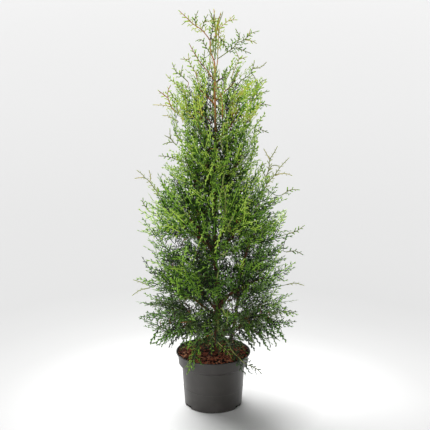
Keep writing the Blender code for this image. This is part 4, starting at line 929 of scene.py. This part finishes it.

# Whole fronds whose root and tip were read off the photo: form, leaf tint, the pixels (column, row) of
# the root and of the tip, and the y of each, which is guessed
PHOTO_FRONDS = (
    # Beside the pot and before the trunk's foot, in dark tints that paint the shade under the crown
    (NARROW, DARK, ((171, 318), (166, 344)), (0.000, 0.000)),
    (NARROW, DARK, ((178, 318), (175, 342)), (-0.020, -0.030)),
    (FULL, DARK, ((186, 312), (183, 336)), (-0.030, -0.050)),
    (FULL, SHADE, ((194, 314), (192, 337)), (0.000, -0.020)),
    (FULL, DARK, ((200, 312), (199, 336)), (0.010, 0.000)),
    (NARROW, DARK, ((247, 316), (254, 341)), (-0.010, -0.030)),
    (NARROW, DARK, ((255, 318), (264, 346)), (-0.020, -0.030)),
    (NARROW, DARK, ((262, 318), (272, 347)), (0.000, 0.000)),
    (FULL, SHADE, ((196, 330), (198, 350)), (-0.030, -0.060)),
    (FULL, SHADE, ((204, 328), (204, 350)), (-0.040, -0.060)),
    (FULL, SHADE, ((212, 330), (214, 353)), (-0.045, -0.070)),
    (FULL, DARK, ((222, 330), (225, 352)), (-0.045, -0.065)),
    # Before the trunk, from the top downwards
    (NARROW, LIME, ((219, 150), (206, 184)), (-0.085, -0.125)),
    (OPEN, FRESH, ((212, 170), (222, 205)), (-0.100, -0.140)),
    (NARROW, FRESH, ((236, 176), (250, 164)), (-0.110, -0.130)),
    (NARROW, LIME, ((213, 186), (211, 214)), (-0.120, -0.150)),
    (OPEN, LIME, ((230, 196), (222, 232)), (-0.130, -0.170)),
    (FULL, MID, ((216, 204), (214, 236)), (-0.130, -0.165)),
    (NARROW, LIME, ((226, 216), (213, 252)), (-0.150, -0.185)),
    (NARROW, LIME, ((206, 226), (196, 247)), (-0.160, -0.185)),
    (OPEN, FRESH, ((240, 226), (252, 256)), (-0.150, -0.180)),
    (NARROW, FRESH, ((191, 236), (181, 262)), (-0.160, -0.190)),
    (NARROW, MID, ((217, 236), (216, 268)), (-0.140, -0.165)),
    (FULL, DARK, ((213, 240), (221, 270)), (-0.120, -0.150)),
    (FULL, MID, ((224, 258), (232, 288)), (-0.150, -0.180)),
    (FULL, DARK, ((204, 256), (210, 288)), (-0.110, -0.140)),
    (NARROW, FRESH, ((217, 262), (190, 273)), (-0.170, -0.205)),
    (FULL, FRESH, ((176, 266), (177, 296)), (-0.155, -0.190)),
    (FULL, FRESH, ((186, 268), (201, 298)), (-0.165, -0.200)),
    (FULL, MID, ((212, 276), (215, 308)), (-0.160, -0.195)),
    (FULL, SHADE, ((219, 284), (217, 312)), (-0.080, -0.110)),
    (FULL, DARK, ((212, 288), (205, 318)), (-0.100, -0.135)),
    (FULL, MID, ((221, 306), (227, 330)), (-0.090, -0.120)),
    (FULL, DARK, ((207, 308), (211, 336)), (-0.070, -0.100)),
    (FULL, DARK, ((216, 316), (217, 340)), (-0.060, -0.085)),
    (FULL, SHADE, ((226, 314), (232, 338)), (-0.040, -0.070)),
    (FULL, SHADE, ((211, 318), (206, 340)), (-0.045, -0.080)),
)


def turned(points, angle):
    """Turn points about the crown's middle line by an angle."""
    x, y, z = (points - (AXIS_X, 0.0, 0.0)).T
    return np.stack([AXIS_X + x * math.cos(angle) - y * math.sin(angle),
                     x * math.sin(angle) + y * math.cos(angle), z], axis=-1)


def read_along(at, rows, where):
    """Return the rows of three values, given at some lengths, as they are at other lengths between them."""
    return np.stack([np.interp(where, at, rows[:, axis]) for axis in range(3)], axis=-1)


def shoot_line(shoot, angle):
    """Return a shoot's centre line: its places, with a depth that changes evenly, turned by the angle."""
    depth = np.linspace(*shoot.depths, len(shoot.places))
    places = turned(np.insert(np.array(shoot.places), 1, depth, axis=1), angle)
    line = smooth_line(places, 0.002)
    at = lengths_along(line)
    return read_along(at, line, np.linspace(0, at[-1], SHOOT_POINTS))


def sprigs(shoot, line, angle, rng):
    """Return a shoot's sprigs: left and right in turn in the shoot's own plane, shorter towards its tip."""
    at = lengths_along(line)
    where = np.arange(SPRIG_START * at[-1], at[-1] - SPRIG_END, SPRIG_PITCH)
    where = np.append(where, at[-1] - SPRIG_END / 2)
    root = read_along(at, line, where)
    along = unit(read_along(at, np.gradient(line, axis=0), where))
    normal = np.array((math.sin(angle), -math.cos(angle), 0.0))
    side = unit(np.cross(normal, along))
    count = len(where)
    swing = (-1.0) ** (np.arange(count) + rng.integers(0, 2)) * (SPRIG_ANGLE + rng.uniform(-0.2, 0.2, count))
    swing[-1] = 0.0
    direction = unit(np.cos(swing)[:, None] * along + np.sin(swing)[:, None] * side
                     + rng.uniform(-0.3, 0.3, (count, 1)) * normal)
    across = unit(np.cross(normal, direction) + rng.uniform(-0.5, 0.5, (count, 1)) * normal)
    across = unit(across - (across * direction).sum(1, keepdims=True) * direction)
    square = np.cross(direction, across)
    length = np.clip(SPRIG_SHORTEST + SPRIG_GROWTH * (at[-1] - where), SPRIG_SHORTEST, SPRIG_LONGEST)
    length = length * rng.uniform(0.75, 1.15, count) * (0.6 if shoot.leaf == PALE else 1.0)
    length[-1] = SPRIG_END
    leaf = FRESH if shoot.leaf == PALE and angle else shoot.leaf
    return [Frond(shoot.tier, FINGER if values[-1] < PLAIN_SPRIG else OPEN, *values, 1.0, leaf)
            for values in zip(root, direction, across, square, length)]


rng = np.random.default_rng(SEED + 1)
shoot_lines, shoot_woods = [], []
wood = np.vstack([TRUNK_LINE, LEADER_LINE, SECOND_STEM_LINE] + skeletons)
for shoot in SHOOTS:
    for angle in shoot.turns:
        line = shoot_line(shoot, angle)
        away = np.linalg.norm(wood - line[0], axis=1)
        foot = int(away.argmin())
        if LINK_SHORTEST < away[foot] < LINK_LONGEST:
            bend = line[0] - 0.4 * away[foot] * unit(line[1] - line[0])
            twigs.append((wood[foot], bend, line[0]))
        shoot_lines.append(line)
        shoot_woods.append(shoot.wood)
        wood = np.vstack([wood, line])
        fronds += sprigs(shoot, line, angle, rng)
placed = [(form, leaf, *np.array(ends)) for form, leaf, *ends in HANGING_FRONDS]
placed += [(form, leaf, *from_photo(pixels, np.array(depths))) for form, leaf, pixels, depths in PHOTO_FRONDS]
for form, leaf, root, tip in placed:
    direction = unit(tip - root)
    across, square = frond_frame(direction, np.array(rng.uniform(-0.5, 0.5)))
    foot = int(np.linalg.norm(wood - root, axis=1).argmin())
    twigs.append((wood[foot], (wood[foot] + root) / 2 + (0, 0, HANGING_LIFT), root))
    risen = arch(math.hypot(root[0] - AXIS_X, root[1]))
    name = next(tier.name for tier in TIERS if root[2] < tier.high + risen)
    fronds.append(Frond(name, form, root, direction, across, square, np.linalg.norm(tip - root), 1.0, leaf))

# Twig bark in plain tints, dealt out by twig: old red-brown, orange-brown, green under scale leaves,
# green-brown and straw. Those near the crown's rim are young and mostly still green
TWIG_HEXES = ("#55362a", "#b0703f", "#4d6628", "#8d9352", "#c9bd7a")
INNER_TWIG_SHARES, OUTER_TWIG_SHARES = (0.62, 0.10, 0.28, 0.0, 0.0), (0.06, 0.06, 0.82, 0.06, 0.0)
OUTER_TWIG_SHARE = 0.58
twig_materials = [new_material("twig_bark_%d" % (number + 1), hex_colour, 0.7, 0.25)[0]
                  for number, hex_colour in enumerate(TWIG_HEXES)]


def tinted(skinned, tint):
    """Return a batch of skins as (points, faces, tints), with one tint for each skin."""
    points, faces = skinned
    return points, faces, [np.repeat(tint, len(face) // len(tint)) for face in faces]


def joined_tints(parts):
    """Join several (points, faces, tints), and the tints in the order of the joined faces."""
    points, faces = joined([part[:2] for part in parts])
    tints = [tint for corners in (3, 4) for _, part, colours in parts
             for face, tint in zip(part, colours) if face.shape[1] == corners]
    return points, faces, np.concatenate(tints)


start, bend, end = (np.array(column)[:, None] for column in zip(*twigs))
way = np.linspace(0, 1, TWIG_POINTS)[None, :, None]
lines = bent(start, bend, end, way)
ends = lines[:, -1] - (AXIS_X, 0.0, 0.0)
at_rim = (np.hypot(ends[:, 0], ends[:, 1])
          > OUTER_TWIG_SHARE * crown_reach(np.arctan2(ends[:, 1], ends[:, 0]), ends[:, 2]))
twig_woods = np.where(at_rim, rng.choice(len(TWIG_HEXES), len(twigs), p=OUTER_TWIG_SHARES),
                      rng.choice(len(TWIG_HEXES), len(twigs), p=INNER_TWIG_SHARES))
parts = [tinted(skin(limb_rings(lines, TWIG_RADII, TWIG_AROUND, relief=0.0)), twig_woods),
         tinted(skin(limb_rings(np.array(shoot_lines), SHOOT_RADII, SHOOT_AROUND, relief=0.8)),
                np.array(shoot_woods))]
for mass, stem in zip(masses, mass_stems):
    young = mass.tier.open
    rings = limb_rings(stem[None], YOUNG_STEM_RADII if young else STEM_RADII, MASS_STEM_AROUND, relief=0.5)
    parts.append(tinted(skin(rings), np.array([ORANGE if young else RED])))
points, faces, tints = joined_tints(parts)
twig_piece = add_piece("twigs", points, faces, twig_materials, tints)
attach(twig_piece, "root")
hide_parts("foliage_tip_left", "foliage_tip_right", *[mass.name for mass in masses])


# Fronds
# Flat sprays of scale-leaved branchlets: a rib, laterals left and right in turn, and blunt fingers on those.
# They are full inside the crown and open at its rim, where the sky shows between their branchlets.

FLATNESS = 0.45
# Each form: pitch of laterals and what it gains with the frond's length, their angle, the longest as a share
# of the length, the shortest, pitch of fingers, shortest and longest finger, half widths, lengths made
Form = namedtuple("Form", "pitch pitch_gain angle lateral shortest finger_pitch fingers widths sizes")
FORMS = (
    Form(0.0085, 0.0, 0.85, 0.44, 0.013, 0.0066, (0.0095, 0.0185), (0.0012, 0.0016),
         (0.045, 0.065, 0.085, 0.105)),
    Form(0.0045, 0.065, 0.85, 0.32, 0.0085, 0.0085, (0.0070, 0.0125), (0.0012, 0.0016),
         (0.024, 0.050, 0.075, 0.100)),
    Form(0.0075, 0.0, 0.60, 0.24, 0.0095, 0.0080, (0.0075, 0.0115), (0.0015, 0.0020), (0.050, 0.075, 0.100)),
    Form(0.0, 0.0, 0.0, 0.0, 0.0, 0.0, (), (0.0014, 0.0), (0.010,)),
)
# Branchlet tips past this share of a frond's length take its outer tint, the rest the darker inner one:
# painted shade among the branchlets, as well as the tips' own paler growth
FINGER_ANGLE, SHADED_FOOT, VARIANTS = 0.75, 0.35, 4


def branchlets(start, end, bow, half_width, stations, swell, around):
    """Return closed branchlets, a point at either end and flattened rings between, and which faces are tips.

    A ring's centre lies at its station between start and end, moved by the bow's parabola. Its corners lie
    on an ellipse, half a width across the branchlet and a share of that above and below. The faces past
    the last station but one are tips.
    """
    gap = end - start
    side = unit(np.cross((0.0, 0.0, 1.0), gap))[:, None, None]
    square = unit(np.cross(gap, side[:, 0, 0]))[:, None, None]
    station = np.array(stations)[None, :, None]
    centre = start[:, None] + station * gap[:, None] + 4 * station * (1 - station) * bow[:, None]
    width = (half_width * np.array(swell))[None, :, None, None]
    turn = np.arange(around)[:, None] * 2 * math.pi / around
    rings = centre[:, :, None] + width * (np.cos(turn) * side + FLATNESS * np.sin(turn) * square)
    points, (quads, fans) = skin(rings, start, end)
    last_row = np.arange(len(stations) - 1) == len(stations) - 2
    tips = [np.tile(np.repeat(last_row, around), len(start)),
            np.tile(np.repeat((False, True), around), len(start))]
    return points, [quads, fans], tips


def frond(length, form, rng):
    """Return points and faces of a frond along +X in the plane of X and Y, and which faces are light.

    Laterals leave its rib left and right in turn, at an angle that closes towards the tip. Their length is a
    share of the frond's, times a profile that rises over the first third and then falls to the tip. Fingers
    leave the laterals in the same way. Tips are light outside the frond's dark foot, which is partly painted
    shade.
    """
    laterals, fingers = [], []
    side = rng.choice((-1.0, 1.0))
    pitch = form.pitch + form.pitch_gain * length
    for root in np.arange(0.12 * length, 0.96 * length, pitch) if pitch else ():
        side = -side
        share = root / length
        reach = form.lateral * length * (1 - share) ** 0.7 * min(1.0, 0.55 + 1.6 * share)
        reach = max(form.shortest, reach) * rng.uniform(0.72, 1.15)
        angle = form.angle - 0.25 * share + rng.uniform(-0.12, 0.12)
        lift = rng.uniform(-0.3, 0.3)
        start = np.array((root, 0.0, 0.0))
        heading = np.array((math.cos(angle), side * math.sin(angle), lift))
        bow = 0.05 * reach * np.array((-math.sin(angle), side * math.cos(angle), 0.0))
        laterals.append((start, start + reach * heading, bow))
        other = side
        for along in np.arange(0.0070, reach - 0.0050, form.finger_pitch):
            other = -other
            size = np.clip(0.45 * (reach - along) + 0.006, *form.fingers) * rng.uniform(0.8, 1.15)
            turn = angle + other * side * (FINGER_ANGLE + rng.uniform(-0.15, 0.15))
            out = np.array((math.cos(turn), side * math.sin(turn), lift + rng.uniform(-0.6, 0.6)))
            foot = start + along * heading + 4 * (along / reach) * (1 - along / reach) * bow
            fingers.append((foot, foot + size * out))
    thin, wide = form.widths
    parts = [branchlets(np.zeros((1, 3)), np.array([(length, 0.0, 0.0)]), np.zeros((1, 3)), thin,
                        (0.03, 0.4, 0.95), (0.9, 1.0, 0.9), 4)]
    if laterals:
        start, end, bow = (np.array(column) for column in zip(*laterals))
        parts.append(branchlets(start, end, bow, 0.5 * (thin + wide), (0.25, 0.62, 0.86), (0.9, 0.9, 1.0), 4))
    if fingers:
        start, end = (np.array(column) for column in zip(*fingers))
        parts.append(branchlets(start, end, np.zeros_like(start), wide, (0.30, 0.80), (0.75, 1.0), 3))
    points, faces, tips = joined_tints(parts)
    tips = np.split(tips, [len(faces[0])])
    middles = [points[face].mean(1) for face in faces]
    light = [tip & (middle[:, 0] + 1.2 * np.abs(middle[:, 1]) > SHADED_FOOT * length)
             for tip, middle in zip(tips, middles)]
    return points, faces, light


def placed_fronds(template, size, rows, bend, twist):
    """Place copies of a frond, bent by a parabola along it and twisted in step with the way along it."""
    points, faces, _ = template
    root, direction, across, square, length = (
        np.array([getattr(row, name) for row in rows])
        for name in ("root", "direction", "across", "square", "length"))
    along, side, out = (points[:, axis] * (length / size)[:, None] for axis in range(3))
    way = along / length[:, None]
    turn = twist[:, None] * way
    side, out = side * np.cos(turn) - out * np.sin(turn), side * np.sin(turn) + out * np.cos(turn)
    out = out + bend[:, None] * way ** 2 * length[:, None]
    made = (root[:, None] + along[..., None] * direction[:, None] + side[..., None] * across[:, None]
            + out[..., None] * square[:, None])
    offset = np.arange(len(root))[:, None, None] * len(points)
    return made.reshape(-1, 3), [(face + offset).reshape(-1, face.shape[1]) for face in faces]


# Scale leaves under a thin wax, in plain tints dealt out by spray. The five greens run from last year's
# inside the crown to this year's at its rim; their darkness deep in the crown is also painted shade, and
# their brightness at the rim painted light. Then come straw-yellow tips, greyed leaves, and pale new shoots
LEAF_HEXES = ("#0f1e08", "#2f5016", "#5f8e26", "#94c23f", "#c2e25a", "#cbca4e", "#384a26", "#667a42",
              "#c0c88c")
# Brightness of a frond's tint: in the middle of the crown, the share of the reach and the height taken as
# that middle, what it gains with a metre of height, and how far chance moves it. It paints shade deep in
# the crown and low down, and light towards the rim and the top
BRIGHT, BRIGHT_SHARE, BRIGHT_HEIGHT, BRIGHT_RISE, BRIGHT_CHANCE = 0.54, 0.7, 0.6, 0.50, 0.16
# Heights up to which fronds are mid green at the most, fresh green at the most and often grey, and the height
# from which they are often yellow
MID_HEIGHT, FRESH_HEIGHT, GREY_HEIGHT, YELLOW_HEIGHT, ODD_SHARE = 0.30, 0.45, 0.36, 0.88, 0.25
# Materials of the inner and the outer part of a frond for each leaf tint. The darker inner part is partly
# painted shade
TINT_PAIRS = np.array(((0, 0), (0, 1), (0, 2), (1, 3), (2, 4), (5, 4), (6, 7), (8, 8)))
leaf_materials = [new_material("scale_leaf_%d" % (number + 1), hex_colour, 0.45, 0.35)[0]
                  for number, hex_colour in enumerate(LEAF_HEXES)]
templates = [(number, size, frond(size, form, rng))
             for number, form in enumerate(FORMS) for size in form.sizes for _ in range(VARIANTS)]
template_keys = [(number, size) for number, size, _ in templates[::VARIANTS]]


def leaf_tint(rows, rng):
    """Deal out leaf tints: brighter with height and towards the rim, with some chance.

    Low fronds have often gone grey, and high ones yellow. The darkening deep in the crown and low down is
    painted shade, and the brightening at the rim and top painted light, as well as the leaves' own age.
    """
    height = np.array([row.root[2] for row in rows])
    share = np.array([row.share for row in rows])
    given = np.array([row.tint for row in rows])
    slope = 0.75 + 1.0 * np.clip(height - 0.25, 0, 0.65)
    bright = (BRIGHT + slope * (share - BRIGHT_SHARE) + BRIGHT_RISE * (height - BRIGHT_HEIGHT)
              + rng.normal(0, BRIGHT_CHANCE, len(rows)))
    tint = (np.clip(bright, 0, 0.999) * 5).astype(int)
    chance = rng.uniform(0, 1, len(rows))
    tint = np.where(height < FRESH_HEIGHT, np.minimum(tint, FRESH), tint)
    tint = np.where(height < MID_HEIGHT, np.minimum(tint, MID), tint)
    tint = np.where((height < GREY_HEIGHT) & (chance < ODD_SHARE), WEATHERED, tint)
    tint = np.where((height > YELLOW_HEIGHT) & (chance < ODD_SHARE), YELLOW, tint)
    return np.where(given == AUTOMATIC, tint, given)


for name in [tier.name for tier in TIERS] + ["tips"]:
    rows = [row for row in fronds if row.tier == name]
    tint = leaf_tint(rows, rng)
    bend, twist = rng.uniform(-0.25, 0.12, len(rows)), rng.uniform(-0.5, 0.5, len(rows))
    variant = rng.integers(0, VARIANTS, len(rows))
    sizes = [min(FORMS[row.form].sizes, key=lambda size: abs(size - row.length)) for row in rows]
    nearest = [template_keys.index((row.form, size)) for row, size in zip(rows, sizes)]
    which = np.array(nearest) * VARIANTS + variant
    parts = []
    for number, (_, size, template) in enumerate(templates):
        mine = np.flatnonzero(which == number)
        if not len(mine):
            continue
        points, faces = placed_fronds(template, size, [rows[at] for at in mine], bend[mine], twist[mine])
        colours = [TINT_PAIRS[tint[mine]][:, outer.astype(int)].ravel() for outer in template[2]]
        parts.append((points, faces, colours))
    points, faces, tints = joined_tints(parts)
    leaves = add_piece("leaves_%s" % name, points, faces, leaf_materials, tints, smooth=False)
    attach(leaves, "root")
    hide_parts(*(["foliage_tip_left", "foliage_tip_right"] if name == "tips"
                          else [mass.name for mass in masses if mass.tier.name == name]))


# Studio
# The photograph shows a seamless white sweep under large soft lights, one high behind on the left and one
# low in front. The paper's colour paints the light on it: palest round the pot and a light grey farther off.

FLOOR_REACH, SWEEP_START, SWEEP_HEIGHT = 60.0, 42.0, 6.0
SWEEP_ROWS, SWEEP_AROUND = 9, 96
# Distance from the pot's axis and the paper's colour there, a painted pool of light that is palest round the
# pot and greyer farther off. From 0.93 m on it follows the greys of the photo's floor
FLOOR_LIGHT_POOL = (
    (0.35, 0.82),
    (0.49, 0.66),
    (0.70, 0.54),
    (0.93, 0.490),
    (1.19, 0.466),
    (2.65, 0.475),
    (6.70, 0.500),
    (34.0, 0.530),
)
RAMP_START, RAMP_END = 0.25, 40.0
WORLD_STRENGTH = 0.10
# Each soft light: direction towards it, strength and angle across in degrees
SOFT_LIGHTS = (
    ("soft_light_behind", (-0.27, 0.50, 0.82), 5.60, 60),
    ("soft_light_front", (-0.36, -0.85, 0.40), 1.10, 50),
)
# The lens is worked out for a sensor of this width in millimetres
SENSOR_WIDTH = 36.0

paper, tree, shader = new_material("studio_paper", "#f4f4f4", 0.9, 0.0)
place = object_place(tree)
flat = add_node(tree, "ShaderNodeVectorMath", {0: place, 1: (1.0, 1.0, 0.0)},
                operation="MULTIPLY")
away = add_node(tree, "ShaderNodeVectorMath", {0: flat.outputs["Vector"]}, operation="LENGTH")
# The ramp runs over the logarithm of the distance
log = add_node(tree, "ShaderNodeMath", {0: away.outputs["Value"], 1: math.e}, operation="LOGARITHM")
span = add_node(tree, "ShaderNodeMapRange", {"Value": log.outputs["Value"], "From Min": math.log(RAMP_START),
                                             "From Max": math.log(RAMP_END)})
ramp = add_node(tree, "ShaderNodeValToRGB", {"Fac": span.outputs["Result"]})
for number, (distance, share) in enumerate(FLOOR_LIGHT_POOL):
    stop = ramp.color_ramp.elements[number] if number < 2 else ramp.color_ramp.elements.new(1.0)
    stop.position = math.log(distance / RAMP_START) / math.log(RAMP_END / RAMP_START)
    stop.color = (share, share, share, 1.0)
tree.links.new(ramp.outputs["Color"], shader.inputs["Base Color"])

# A flat round sheet whose rim rises with the square of the way past its start
radius = np.linspace(SWEEP_START, FLOOR_REACH, SWEEP_ROWS)[:, None]
turn = np.linspace(0, 2 * math.pi, SWEEP_AROUND, endpoint=False)
rise = SWEEP_HEIGHT * ((radius - SWEEP_START) / (FLOOR_REACH - SWEEP_START)) ** 2 + 0 * turn
floor_points = np.stack([radius * np.cos(turn), radius * np.sin(turn), rise], axis=-1).reshape(-1, 3)
number = np.arange(len(floor_points)).reshape(SWEEP_ROWS, SWEEP_AROUND)
beside = np.roll(number, -1, axis=1)
quads = np.stack([number[:-1], number[1:], beside[1:], beside[:-1]], axis=-1).reshape(-1, 4)
floor = add_piece("floor", floor_points, [quads, number[:1]], [paper], smooth=False)

world = bpy.data.worlds.new("studio")
world.use_nodes = True
world.node_tree.nodes["Background"].inputs["Color"].default_value = (1.0, 1.0, 1.0, 1.0)
world.node_tree.nodes["Background"].inputs["Strength"].default_value = WORLD_STRENGTH
bpy.context.scene.world = world

for name, direction, strength, angle in SOFT_LIGHTS:
    lamp = bpy.data.lights.new(name, "SUN")
    lamp.energy, lamp.angle = strength, math.radians(angle)
    light = bpy.data.objects.new(name, lamp)
    light.rotation_euler = Vector(direction).to_track_quat("Z", "Y").to_euler()
    light.location = 3 * Vector(direction)
    bpy.context.scene.collection.objects.link(light)

camera = bpy.data.objects.new("camera", bpy.data.cameras.new("camera"))
camera.data.sensor_width = SENSOR_WIDTH
camera.data.lens = SENSOR_WIDTH * CAMERA_FOCAL_PIXELS / IMAGE_PIXELS
camera.location = CAMERA_PLACE
camera.rotation_euler = (math.radians(90 - CAMERA_PITCH), 0, 0)
bpy.context.scene.collection.objects.link(camera)
bpy.context.scene.camera = camera
bpy.context.scene.view_settings.view_transform = "Standard"
